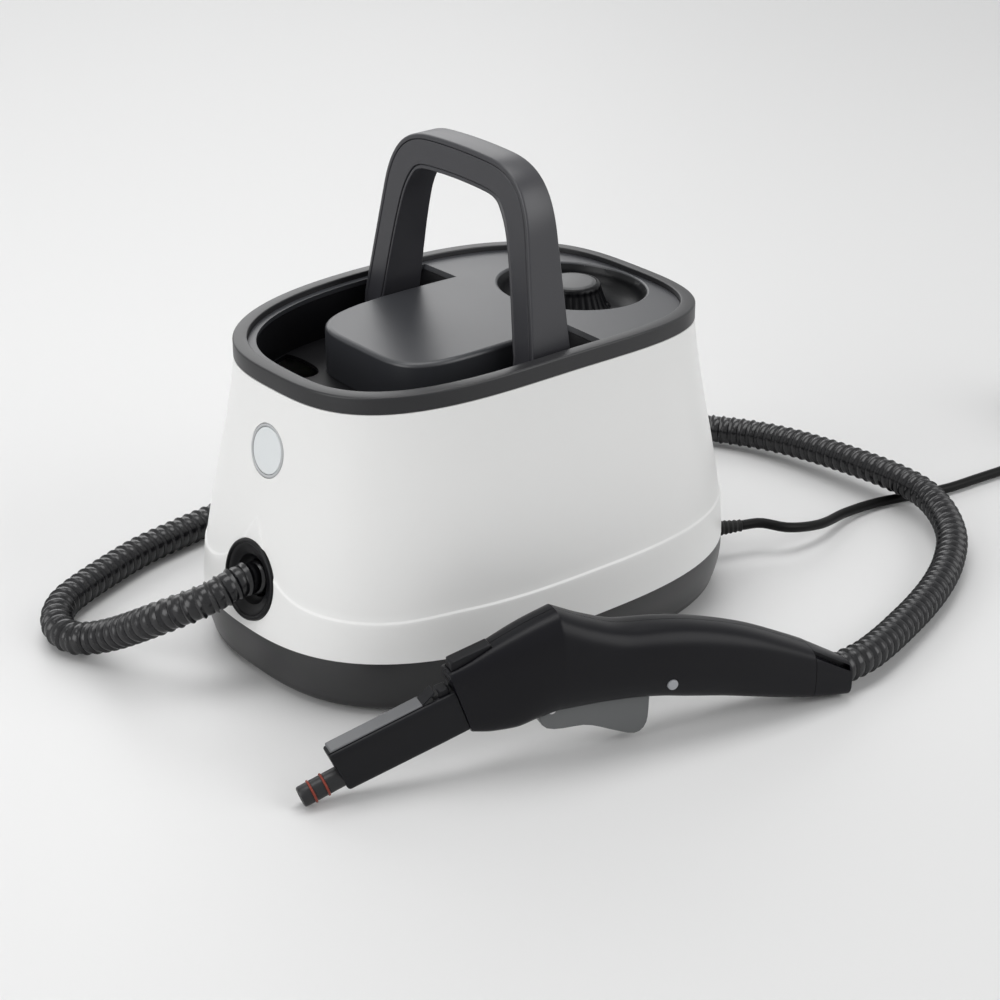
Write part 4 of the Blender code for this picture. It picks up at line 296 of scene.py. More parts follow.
# evenly spaced points on one smooth curve through the given ones, and its length
def evenPoints(points, count):
    fine = []
    places = [Vector(point) for point in points]
    padded = [2 * places[0] - places[1]] + places + [2 * places[-1] - places[-2]]
    for before, start, end, after in zip(padded, padded[1:], padded[2:], padded[3:]):
        knots = [0.0]
        for first, second in ((before, start), (start, end), (end, after)):
            knots.append(knots[-1] + math.sqrt((second - first).length))
        for step in range(curveSteps):
            now = mix(knots[1], knots[2], step / curveSteps)
            a1 = before.lerp(start, (now - knots[0]) / (knots[1] - knots[0]))
            a2 = start.lerp(end, (now - knots[1]) / (knots[2] - knots[1]))
            a3 = end.lerp(after, (now - knots[2]) / (knots[3] - knots[2]))
            b1 = a1.lerp(a2, (now - knots[0]) / (knots[2] - knots[0]))
            b2 = a2.lerp(a3, (now - knots[1]) / (knots[3] - knots[1]))
            fine.append(b1.lerp(b2, (now - knots[1]) / (knots[2] - knots[1])))
    fine.append(places[-1])
    distances = [0.0]
    for first, second in zip(fine, fine[1:]):
        distances.append(distances[-1] + (second - first).length)
    even = []
    segment = 0
    for step in range(count):
        wanted = distances[-1] * step / (count - 1)
        while segment < len(fine) - 2 and distances[segment + 1] < wanted:
            segment += 1
        span = distances[segment + 1] - distances[segment]
        even.append(fine[segment].lerp(fine[segment + 1], min(1.0, (wanted - distances[segment]) / span)))
    return even, distances[-1]


# rings round a path, kept from twisting
def tubeRings(path, radii, sides):
    rings = []
    side = Vector((0, 0, 1))
    for step, point in enumerate(path):
        way = (path[min(step + 1, len(path) - 1)] - path[max(step - 1, 0)]).normalized()
        side = (side - way * side.dot(way)).normalized()
        other = way.cross(side)
        rings.append([point + (side * math.cos(2 * math.pi * k / sides) + other * math.sin(2 * math.pi * k / sides))
                      * radii[step] for k in range(sides)])
    return rings


# outline of the machine

outline = {
    "rimLength": 0.144, "rimWidth": 0.0996, "rimFrontPower": 2.9, "rimRearPower": 3.2, "rimTop": 0.1998,
    "rimEndDrop": 0.0067, "rimSideDrop": 0.0009, "rimBand": 0.0107, "borderLength": 0.1706, "borderWidth": 0.1292,
    "borderPower": 2.52, "borderTop": 0.040, "borderEndDrop": 0.0048, "flare": 0.55, "columns": 160,
}


# seen from above, the body is an oval with squarer ends
def outlineAt(angle, halfLength, halfWidth, frontPower, rearPower=None):
    across, along = math.cos(angle), math.sin(angle)
    power = rearPower if rearPower and across > 0 else frontPower
    reach = (abs(across) ** power + abs(along) ** power) ** (-1 / power)
    return halfLength * reach * across, halfWidth * reach * along


def outlinePoints(halfLength, halfWidth, frontPower, rearPower=None, count=None):
    count = count or outline["columns"]
    return [outlineAt(2 * math.pi * step / count, halfLength, halfWidth, frontPower, rearPower)
            for step in range(count)]


def rimOutline(inset):
    return outlinePoints(outline["rimLength"] - inset, outline["rimWidth"] - inset, outline["rimFrontPower"],
                         outline["rimRearPower"])


def rimDrop(x, y):
    length, width, endDrop, sideDrop = take(outline, "rimLength", "rimWidth", "rimEndDrop", "rimSideDrop")
    return endDrop * (x / length) ** 2 + sideDrop * (y / width) ** 2


def borderDrop(x):
    return outline["borderEndDrop"] * (x / outline["borderLength"]) ** 2


# on the shell: share 0 is under the rim, 1 at the base
def shellPoint(angle, share, inset=0.0):
    flare = mix(share, smoothShare(share), outline["flare"])
    if share < 0 or share > 1:
        flare = share
    x, y = outlineAt(angle, mix(outline["rimLength"], outline["borderLength"], flare) - inset,
                     mix(outline["rimWidth"], outline["borderWidth"], flare) - inset,
                     mix(outline["rimFrontPower"], outline["borderPower"], flare),
                     mix(outline["rimRearPower"], outline["borderPower"], flare))
    top = outline["rimTop"] - outline["rimBand"] - rimDrop(x, y)
    bottom = outline["borderTop"] - borderDrop(x)
    return Vector((x, y, mix(top, bottom, share)))


def shellShare(height):
    top = outline["rimTop"] - outline["rimBand"]
    return (top - height) / (top - outline["borderTop"])


# the share at which a falling line of points reaches a height
def shareAt(pointAt, height):
    low, high = 0.0, 1.0
    for _ in range(halvings):
        middle = (low + high) / 2
        if pointAt(middle).z > height:
            low = middle
        else:
            high = middle
    return low


# a place on the shell and the way it faces
def shellFace(angle, height):
    share = shareAt(lambda at: shellPoint(angle, at), height)
    place = shellPoint(angle, share)
    roundIt = shellPoint(angle + nudge, share) - shellPoint(angle - nudge, share)
    downIt = shellPoint(angle, share + nudge) - shellPoint(angle, share - nudge)
    out = roundIt.cross(downIt).normalized()
    if out.dot(Vector((place.x, place.y, 0))) < 0:
        out = -out
    return place, out


def ringOf(pointAt):
    count = outline["columns"]
    return [fromBody(pointAt(2 * math.pi * step / count)) for step in range(count)]


# cords

glandFacts = {"height": 0.0655, "radius": 0.0250, "mouth": 0.0155, "throat": 0.0112, "proud": 0.0018, "depth": 0.016,
              "dish": 0.0022, "lip": 0.0028, "waist": 0.45, "mouthPower": 0.6, "dishPower": 0.8,
              "steps": 6, "sagTurn": 0.012, "sagPoints": 60}
hoseFacts = {"ridge": 0.0105, "band": 0.0095, "bore": 0.0055, "pitch": 0.0076, "sides": 28,
             "profile": (1.0, 0.50, -0.30, -0.10, 0.06, 0.12, 0.06, -0.10, -0.30, 0.50),
             "startStraight": 2, "endStraight": 2.5, "measuredAt": 400, "coreStep": 20, "pathStep": 4,
             "route": ((-0.1900, 0.0030, 0.0605), (-0.2010, 0.0085, 0.0560), (-0.2100, 0.0175, 0.0500),
                       (-0.2170, 0.0300, 0.0420), (-0.2215, 0.0460, 0.0320), (-0.2255, 0.0640, 0.0215),
                       (-0.2315, 0.0810, 0.0135), (-0.2370, 0.0920, 0.0108), (-0.2385, 0.1060, 0.0106),
                       (-0.2330, 0.1210, 0.0106), (-0.2190, 0.1370, 0.0106), (-0.1990, 0.1480, 0.0106),
                       (-0.1800, 0.1560, 0.0106), (-0.1440, 0.1690, 0.0106), (-0.1090, 0.1760, 0.0106),
                       (-0.0600, 0.1830, 0.0106), (0.0000, 0.1870, 0.0106), (0.0700, 0.1860, 0.0106),
                       (0.1400, 0.1760, 0.0106), (0.2000, 0.1540, 0.0106), (0.2500, 0.1220, 0.0107),
                       (0.2860, 0.0830, 0.0112), (0.3020, 0.0560, 0.0122), (0.3120, 0.0240, 0.0142),
                       (0.3170, -0.0140, 0.0165), (0.3190, -0.0500, 0.0183), (0.3200, -0.0800, 0.0187),
                       (0.3180, -0.1060, 0.0178), (0.3085, -0.1310, 0.0156), (0.2890, -0.1575, 0.0130),
                       (0.2630, -0.1780, 0.0112), (0.2340, -0.1946, 0.0106), (0.2020, -0.2085, 0.0106),
                       (0.1700, -0.2200, 0.0112), (0.1440, -0.2285, 0.0121))}
gunFacts = {"x": -0.2286, "y": -0.1396, "angle": math.radians(-16.42), "end": 0.3372, "tailSwing": math.radians(18),
            "tailSeam": 0.3162, "tailLow": 0.0008, "tailHigh": 0.0250, "split": 0.0930}


def fromGun(point):
    cos, sin = math.cos(gunFacts["angle"]), math.sin(gunFacts["angle"])
    return fromBody((gunFacts["x"] + point[0] * cos - point[1] * sin,
                     gunFacts["y"] + point[0] * sin + point[1] * cos, point[2]))


def hoseWay():
    place, out = shellFace(math.pi, glandFacts["height"])
    start = place - out * (glandFacts["depth"] - gap)
    tail = fromGun((gunFacts["end"], 0, (gunFacts["tailLow"] + gunFacts["tailHigh"]) / 2))
    angle = gunFacts["angle"] + gunFacts["tailSwing"]
    way = Vector((math.cos(angle), math.sin(angle), 0))
    ridge = hoseFacts["ridge"]
    points = [fromBody(start), fromBody(start + out * ridge * hoseFacts["startStraight"])]
    points += [fromBody(point) for point in hoseFacts["route"]]
    return points + [tail + way * ridge * hoseFacts["endStraight"], tail + way * gap]


def makeHose():
    points = hoseWay()
    ridge, sides = hoseFacts["ridge"], hoseFacts["sides"]
    length = evenPoints(points, hoseFacts["measuredAt"])[1]
    ridges = round(length / hoseFacts["pitch"])
    pattern = [mix(hoseFacts["band"], ridge, share) for share in hoseFacts["profile"]]
    path, length = evenPoints(points, ridges * len(pattern) + 1)
    radii = [pattern[(step + len(pattern) // 2) % len(pattern)] for step in range(len(path))]
    core = path[::hoseFacts["coreStep"]] + [path[-1]]
    inner = tubeRings(core, [hoseFacts["bore"]] * len(core), sides)
    hose = skin("ribbedHose", tubeRings(path, radii, sides) + inner[::-1], ringShaped=True, degrees=50)
    stand(hose, "machine", "steam_hose")
    return hose


leadFacts = {"radius": 0.0034, "angle": math.radians(-26.5), "height": 0.0205, "reliefLength": 0.022,
             "reliefRoot": 0.0056, "startStraight": 4, "endStraight": (8, 2.5), "points": 90, "sides": 16,
             "route": ((0.2060, -0.0850, 0.0175), (0.2350, -0.0870, 0.0115), (0.2720, -0.0780, 0.0060),
                       (0.3020, -0.0775, 0.0040), (0.3260, -0.0835, 0.0038), (0.3590, -0.0925, 0.0038),
                       (0.3890, -0.0953, 0.0038), (0.4160, -0.0975, 0.0038), (0.4520, -0.0995, 0.0038))}
coilFacts = {"x": 0.535, "y": -0.112, "inner": 0.0255, "layers": 4, "loops": 3, "step": 0.0074, "points": 48,
             "start": math.radians(125), "endInward": 0.014, "plugHeight": 0.026}
panFacts = {"inset": 0.0004, "corner": 0.0045, "tuckPower": 1.7, "length": 0.165, "width": 0.1187, "power": 2.78,
            "bottom": 0.0027, "wall": 0.0025, "rows": 12, "holeReach": 0.012}


# on the base: share 0 is under the shell, 1 above the bottom edge
def panPoint(angle, share, inset=0.0):
    tuck = share ** panFacts["tuckPower"]
    x, y = outlineAt(angle, mix(outline["borderLength"] - panFacts["inset"], panFacts["length"], tuck) - inset,
                     mix(outline["borderWidth"] - panFacts["inset"], panFacts["width"], tuck) - inset,
                     mix(outline["borderPower"], panFacts["power"], share))
    top = outline["borderTop"] - gap - borderDrop(x)
    return Vector((x, y, mix(top, panFacts["bottom"] + panFacts["corner"], share)))


def leadExit():
    angle = leadFacts["angle"]
    share = shareAt(lambda at: panPoint(angle, at), leadFacts["height"])
    along = panPoint(angle + nudge, share) - panPoint(angle - nudge, share)
    return panPoint(angle, share), Vector((along.y, -along.x, 0)).normalized()


# turns that wind inwards and outwards by layers, then climb to the plug
def coilWay():
    points = []
    count, step = coilFacts["points"], coilFacts["step"]
    angle, height = coilFacts["start"], leadFacts["radius"] + gap
    radius = coilFacts["inner"] + step * coilFacts["loops"]
    turn = 2 * math.pi / count

    def at(angle, radius, height):
        return fromBody((coilFacts["x"] + radius * math.cos(angle), coilFacts["y"] + radius * math.sin(angle), height))

    for layer in range(coilFacts["layers"]):
        inwards = layer % 2 == 0
        for _ in range(coilFacts["loops"] * count):
            points.append(at(angle, radius, height))
            angle -= turn
            radius += step / count * (-1 if inwards else 1)
        if layer == coilFacts["layers"] - 1:
            break
        climb = count // 2
        for part in range(climb):
            share = part / climb
            points.append(at(angle, radius, height + step * smoothShare(share)))
            angle -= turn
            radius += step / count * (-1 if inwards == (share < 0.5) else 1)
        height += step
    rise = step / 2 + coilFacts["plugHeight"] / 2
    parts = count // 2 + 1
    for part in range(parts + 1):
        share = part / parts
        inward = smoothShare(2 * share - 1) * coilFacts["endInward"]
        points.append(at(angle, radius - inward, height + smoothShare(share) * rise))
        angle -= turn
        radius += step / count
    points.append(points[-1] + (points[-1] - points[-2]) / 2)
    points[-1].z = points[-2].z
    return points


def makeLead():
    place, out = leadExit()
    start = place + out * (leadFacts["reliefLength"] + gap)
    coil = coilWay()
    tangent = (coil[0] - coil[1]).normalized()
    tangent.z = 0
    radius = leadFacts["radius"]
    points = [fromBody(start), fromBody(start + out * radius * leadFacts["startStraight"])]
    points += [fromBody(point) for point in leadFacts["route"]]
    far, near = leadFacts["endStraight"]
    points += [coil[0] + tangent * away for away in (radius * far, radius * near, gap)]
    path = evenPoints(points, leadFacts["points"])[0][:-1] + coil
    lead = skin("mainsLead", tubeRings(path, [radius] * len(path), leadFacts["sides"]), degrees=60)
    stand(lead, "machine", "lead_run", "lead_coil")
    length = sum((second - first).length for first, second in zip(path, path[1:]))
    return lead, path, length


hose = makeHose()
lead, leadPath, leadLength = makeLead()
print("hose and lead are laid")


# finishes

mouldedFacts = {
    "inputs": (("Color", "Color", (0.5, 0.5, 0.5, 1)), ("Shade", "Float", 0.04), ("Roughness", "Float", 0.4),
               ("Patch", "Float", 0.05), ("Grain", "Float", 900.0), ("Depth", "Float", 0.08)),
    "outputs": (("Color", "Color"), ("Roughness", "Float"), ("Normal", "Vector")),
    "cloudScale": 14, "cloudDetail": 3, "grainDetail": 2, "bumpDistance": 0.0002,
}


def makeMouldedGroup():
    group = bpy.data.node_groups.new("mouldedSkin", "ShaderNodeTree")
    for name, kind, value in mouldedFacts["inputs"]:
        made = group.interface.new_socket(name=name, in_out="INPUT", socket_type="NodeSocket" + kind)
        made.default_value = value
    for name, kind in mouldedFacts["outputs"]:
        group.interface.new_socket(name=name, in_out="OUTPUT", socket_type="NodeSocket" + kind)
    start = addNode(group, "NodeGroupInput").outputs
    place = addNode(group, "ShaderNodeTexCoord").outputs["Object"]
    clouds = addNode(group, "ShaderNodeTexNoise", {"Vector": place, "Scale": mouldedFacts["cloudScale"],
                                                   "Detail": mouldedFacts["cloudDetail"]})
    centred = addNode(group, "ShaderNodeMath", {0: clouds.outputs["Fac"], 1: 0.5}, operation="SUBTRACT").outputs[0]
    shade = addNode(group, "ShaderNodeMath", {0: centred, 1: start["Shade"], 2: 1.0}, operation="MULTIPLY_ADD")
    tinted = addNode(group, "ShaderNodeVectorMath", {0: start["Color"], "Scale": shade.outputs[0]}, operation="SCALE")
    rough = addNode(group, "ShaderNodeMath", {0: centred, 1: start["Patch"], 2: start["Roughness"]},
                    operation="MULTIPLY_ADD")
    grain = addNode(group, "ShaderNodeTexNoise", {"Vector": place, "Scale": start["Grain"],
                                                  "Detail": mouldedFacts["grainDetail"]})
    bump = addNode(group, "ShaderNodeBump", {"Strength": start["Depth"], "Distance": mouldedFacts["bumpDistance"],
                                             "Height": grain.outputs["Fac"]})
    addNode(group, "NodeGroupOutput", {"Color": tinted.outputs[0], "Roughness": rough.outputs[0],
                                       "Normal": bump.outputs["Normal"]})
    return group


mouldedSkin = makeMouldedGroup()


def moulded(name, color, roughness, shade=0.05, patch=0.06, specular=0.5, grain=1400, depth=0.10, metallic=0.0):
    made = bpy.data.materials.new(name)
    made.use_nodes = True
    made.diffuse_color = (*color, 1)
    tree = made.node_tree
    skinned = addNode(tree, "ShaderNodeGroup", {"Color": (*color, 1), "Shade": shade, "Roughness": roughness,
                                                "Patch": patch, "Grain": grain, "Depth": depth},
                      node_tree=mouldedSkin)
    shader = tree.nodes["Principled BSDF"]
    shader.inputs["Metallic"].default_value = metallic
    shader.inputs["Specular IOR Level"].default_value = specular
    for output, name in (("Color", "Base Color"), ("Roughness", "Roughness"), ("Normal", "Normal")):
        tree.links.new(skinned.outputs[output], shader.inputs[name])
    return made


finishFacts = {  # colour, roughness, shade, patch, specular, grain, depth, metallic
    "whiteShell": ((0.88, 0.88, 0.87), 0.34, 0.015, 0.05, 0.50, 1600, 0.04),
    "baseGrey": ((0.017, 0.017, 0.018), 0.32, 0.10, 0.08),
    "rimGrey": ((0.012, 0.012, 0.0135), 0.38, 0.08, 0.06, 0.45),
    "deckGrey": ((0.030, 0.0315, 0.036), 0.38, 0.08, 0.06, 0.60),
    # painted shade: a darker copy of the deck plastic for the faces inside the cap recess
    "recessPaintedShade": ((0.0060, 0.0063, 0.0072), 0.36, 0.08, 0.06, 0.25),
    "trayBlack": ((0.0045, 0.0045, 0.0055), 0.42, 0.10, 0.06, 0.25),
    "handleGrey": ((0.031, 0.031, 0.036), 0.38, 0.08, 0.06, 0.55),
    "capBlack": ((0.0020, 0.0020, 0.0028), 0.32, 0.08, 0.06, 0.14),
    "capGrey": ((0.034, 0.035, 0.0365), 0.40, 0.06, 0.05, 0.60),
    "glandBlack": ((0.0025, 0.0025, 0.0034), 0.40, 0.08, 0.06, 0.22),
    "bezelGrey": ((0.50, 0.51, 0.52), 0.32, 0.03, 0.04),
    "buttonGrey": ((0.76, 0.79, 0.80), 0.42, 0.02, 0.04),
    "hoseBlack": ((0.0050, 0.0050, 0.0062), 0.25, 0.10, 0.06, 0.50, 500, 0.01),
    "leadBlack": ((0.003, 0.003, 0.003), 0.40, 0.08, 0.08, 0.15),
    "rubberBlack": ((0.009, 0.009, 0.009), 0.65, 0.10, 0.08, 0.35),
    "sealRed": ((0.22, 0.035, 0.020), 0.45, 0.10, 0.06, 0.35),
    "spigotBlack": ((0.007, 0.007, 0.008), 0.38, 0.08, 0.06, 0.45),
    "gunBlack": ((0.0022, 0.0021, 0.0038), 0.34, 0.06, 0.06, 0.20, 1800, 0.12),
    "gunSlate": ((0.0030, 0.0031, 0.0046), 0.38, 0.06, 0.06, 0.22, 1800, 0.12),
    # painted sheen: the nose's top strip is painted light grey for the light it catches from above
    "stripSheenGrey": ((0.105, 0.108, 0.114), 0.36, 0.08, 0.06, 0.60, 1800, 0.10),
    "triggerGrey": ((0.125, 0.130, 0.132), 0.46, 0.05, 0.05),
    "lockGrey": ((0.34, 0.35, 0.37), 0.38, 0.05, 0.05),
    "plainSteel": ((0.48, 0.48, 0.48), 0.42, 0.06, 0.12, 0.50, 300, 0.08, 1.0),
    "heaterSteel": ((0.30, 0.26, 0.24), 0.42, 0.20, 0.15, 0.50, 200, 0.10, 1.0),
    "brass": ((0.66, 0.50, 0.22), 0.30, 0.08, 0.12, 0.50, 300, 0.06, 1.0),
    "copper": ((0.72, 0.36, 0.22), 0.30, 0.10, 0.12, 0.50, 300, 0.06, 1.0),
    "phenolic": ((0.10, 0.06, 0.045), 0.50, 0.12, 0.08),
    "boardGreen": ((0.03, 0.17, 0.07), 0.42, 0.12, 0.08),
}


finishes = {name: moulded(name, *values) for name, values in finishFacts.items()}


def dress(piece, finish):
    piece.data.materials.clear()
    piece.data.materials.append(finishes[finish])


def complete(piece, finish, slot, body, *nodes):
    dress(piece, finish)
    stand(piece, body, *nodes)


innerFinishes = {
    "plainSteel": ("boiler_lower", "boiler_upper", "filler_neck", "handle_pin_far", "handle_pin_near", "trigger_pin",
                   "valve_stem"),
    "heaterSteel": ("heater_ring",),
    "brass": ("gun_valve", "solenoid_valve", "hose_ferrule"),
    "copper": ("steam_pipe_boiler", "steam_pipe_hose", "gun_tube_front", "gun_tube_rear"),
    "boardGreen": ("control_board",),
    "phenolic": ("power_switch", "pressure_switch", "thermal_fuse", "thermostat"),
    "capBlack": ("cap_plug",),
    "sealRed": ("cap_seal",),
    "rubberBlack": ("foot_front_far", "foot_front_near", "foot_rear_far", "foot_rear_near"),
}
for finish, nodes in innerFinishes.items():
    for node in nodes:
        for place in bpy.data.objects[node].material_slots:
            place.material = finishes[finish]
dress(hose, "hoseBlack")
dress(lead, "leadBlack")
print("finishes are made")


# shell, base and rim

reliefFacts = {"step": 0.0008, "run": 0.0020, "height": 0.0697, "frontDip": 0.0034, "dipFrom": -0.090,
               "dipTo": -0.140, "archRise": 0.053, "archFall": 0.0185, "archRound": 0.003, "wall": 0.0025,
               "upperRows": 26, "stepRows": 5, "lowerRows": 12, "backRows": 3}


# the pressed line that dips at the front and arches over the gland
def reliefShare(angle):
    point = shellPoint(angle, shellShare(reliefFacts["height"]))
    dip = smoothShare((point.x - reliefFacts["dipFrom"]) / (reliefFacts["dipTo"] - reliefFacts["dipFrom"]))
    height = reliefFacts["height"] - reliefFacts["frontDip"] * dip
    if point.x < 0:
        away = math.hypot(point.y, reliefFacts["archRound"])
        height += reliefFacts["archRise"] * math.exp(-away / reliefFacts["archFall"])
    return shellShare(height)


def makeShell():
    relief = reliefFacts
    upper, steps, lower, back = take(relief, "upperRows", "stepRows", "lowerRows", "backRows")
    run = relief["run"] / (outline["rimTop"] - outline["borderTop"])
    rows = [ringOf(lambda angle: shellPoint(angle, reliefShare(angle) * row / upper)) for row in range(upper + 1)]
    for row in range(1, steps + 1):
        share = row / steps
        rows.append(ringOf(lambda angle: shellPoint(angle, reliefShare(angle) + run * share,
                                                    -relief["step"] * smoothShare(share))))
    for row in range(1, lower + 1):
        fade = row / lower
        rows.append(ringOf(lambda angle: shellPoint(angle, mix(reliefShare(angle) + run, 1.0, fade),
                                                    -relief["step"] * (1 - fade))))
    rows += [ringOf(lambda angle: shellPoint(angle, 1 - row / back, relief["wall"])) for row in range(back + 1)]
    shell = skin("whiteShell", rows, ringShaped=True)
    for name, radius, height in (("glandHole", glandFacts["radius"], glandFacts["height"]),
                                 ("buttonHole", buttonFacts["bezel"], buttonFacts["height"])):
        place, axis = shellFace(math.pi, height)
        carve(shell, through(name, radius + gap, place, axis, reachOut, roundSides))
    complete(shell, "whiteShell", "white_plastic", "machine", "outer_shell")


def makePan():
    wall, corner, bottom, count = take(panFacts, "wall", "corner", "bottom", "rows")

    def flat(angle, inset, height):
        point = panPoint(angle, 1.0, inset)
        return Vector((point.x, point.y, height))

    rows = [ringOf(lambda angle: flat(angle, corner * (1 - sin), bottom + corner * (1 - cos)))
            for sin, cos in quarterTurn(6)]
    rows += [ringOf(lambda angle: panPoint(angle, 1 - row / count)) for row in range(1, count + 1)]
    rows += [ringOf(lambda angle: panPoint(angle, share, wall)) for share in (0, 1)]
    rows.append(ringOf(lambda angle: flat(angle, corner, bottom + wall)))
    pan = skin("basePan", rows)
    place, out = leadExit()
    carve(pan, through("leadHole", leadFacts["reliefRoot"] + gap, place, out, panFacts["holeReach"], 32))
    complete(pan, "baseGrey", "base_plastic", "machine", "base_pan")


rimFacts = {"topWidth": 0.0082, "edge": 0.0012, "innerEdge": 0.6, "underEdge": 0.0003, "ledge": 0.0023,
            "deckBelow": 0.0034, "deckThick": 0.0030}
deckTop = outline["rimTop"] - rimFacts["deckBelow"]


def rimRing(inset, height):
    return [fromBody((x, y, height - rimDrop(x, y))) for x, y in rimOutline(inset)]


def makeRim():
    top = outline["rimTop"]
    edge, width, small, ledgeWidth = take(rimFacts, "edge", "topWidth", "underEdge", "ledge")
    inner, back = edge * rimFacts["innerEdge"], width + ledgeWidth
    under, ledge = top - outline["rimBand"] + gap, deckTop - rimFacts["deckThick"] - gap
    profile = [(small, under), (0, under + small)]
    profile += [(edge * (1 - cos), top - edge * (1 - sin)) for sin, cos in quarterTurn(4)]
    profile += [(width - inner * (1 - sin), top - inner * (1 - cos)) for sin, cos in quarterTurn(4)]
    profile += [(width, ledge), (back, ledge), (back, under)]
    rim = skin("topRim", [rimRing(inset, height) for inset, height in profile], ringShaped=True)
    complete(rim, "rimGrey", "rim_plastic", "machine", "top_rim")


buttonFacts = {"height": 0.145, "radius": 0.0142, "depth": 0.006, "dish": 0.0005, "bezel": 0.0163,
               "bezelDepth": 0.018, "bezelFloor": 0.002, "edge": 0.0005, "innerEdge": 0.0004, "flatShare": 0.95,
               "rows": 8, "faceEdge": (0.0002, 0.0001)}

makeShell()
makePan()
makeRim()
print("shell, base and rim are made")


# deck, plateau, channel and cap recess

deckFacts = {"lip": 0.0048, "plateauFront": 0.0825, "plateauHalf": 0.05625, "plateauPower": 4.27,
             "plateauRear": 0.042, "plateauSteps": 56, "roll": 0.003, "plateauWall": 0.0028, "cavityRear": 0.030,
             "floor": 0.1648, "pocketRear": 0.035, "pocketSlant": math.radians(28), "floorInset": 0.006,
             "drainX": -0.0905, "drainY": 0.0595, "drainLength": 0.0118, "drainWidth": 0.022, "drainPower": 2.6,
             "capX": 0.086, "recessLength": 0.0464, "recessWidth": 0.0488, "recessDepth": 0.0201, "bowlWall": 0.0022,
             "bowlTop": 0.965, "bowlTaper": 0.265, "taperPower": 2.2, "depthPower": 1.5, "bowlPower": 2.0,
             "bowlRows": 10, "bowlSides": 96, "domeCuts": (40, 12), "drainSides": 48,
             # the next two values mark which faces inside the cap recess get the painted shade
             "paintedShadeInside": 0.995, "paintedShadeBelow": 0.55, "neck": 0.021, "wall": 0.0025, "pinHeight": 0.1824,
             "pin": 0.004}


def prism(name, points, low, high):
    return skin(name, [level(points, height) for height in (low, high)])


def plateauOutline(inset, rear):
    count = deckFacts["plateauSteps"]
    front, half = deckFacts["plateauFront"] - inset, deckFacts["plateauHalf"] - inset
    points = [outlineAt(math.pi / 2 + math.pi * step / count, front, half, deckFacts["plateauPower"])
              for step in range(count + 1)]
    return points + [(rear, -half), (rear, half)]


def behindPocket(name, shift):
    reach = outline["rimLength"] + reachOut
    block = brick(name, (0, -reach, -reach), (reach * 2, reach, reach))
    turn = Matrix.Rotation(deckFacts["pocketSlant"], 4, "Y")
    block.data.transform(Matrix.Translation(fromBody((deckFacts["pocketRear"] + shift, 0, deckTop))) @ turn)
    return block


def level(points, height):
    return [fromBody((x, y, height)) for x, y in points]


def channelSpace(name, low, high, shift=0.0):
    space = prism(name, rimOutline(rimFacts["topWidth"] + deckFacts["lip"]), low, high)
    carve(space, behindPocket(name + "Rear", shift))
    return space


def bowlRing(halfLength, halfWidth, height):
    points = outlinePoints(halfLength, halfWidth, deckFacts["bowlPower"], count=deckFacts["bowlSides"])
    return level([(deckFacts["capX"] + x, y) for x, y in points], height)


# lets the flat deck follow the rim, which falls towards its ends
def domed(piece):
    mesh = bmesh.new()
    mesh.from_mesh(piece.data)
    cuts = zip(deckFacts["domeCuts"], take(outline, "rimLength", "rimWidth"), ((1, 0, 0), (0, 1, 0)))
    for count, size, way in cuts:
        for station in range(1, count):
            place = fromBody(Vector(way) * size * (2 * station / count - 1))
            bmesh.ops.bisect_plane(mesh, geom=mesh.verts[:] + mesh.edges[:] + mesh.faces[:], dist=1e-6,
                                   plane_co=place, plane_no=way)
    base = deckFacts["floor"]
    for point in mesh.verts:
        weight = max(0.0, (point.co.z - base) / (deckTop - base))
        point.co.z -= rimDrop(point.co.x - body["x"], point.co.y - body["y"]) * weight
    mesh.to_mesh(piece.data)
    mesh.free()
    smoothPiece(piece)


def pinRod(name):
    return through(name, deckFacts["pin"] + gap, (0, 0, deckFacts["pinHeight"]), (0, 1, 0), outline["rimWidth"], 32)


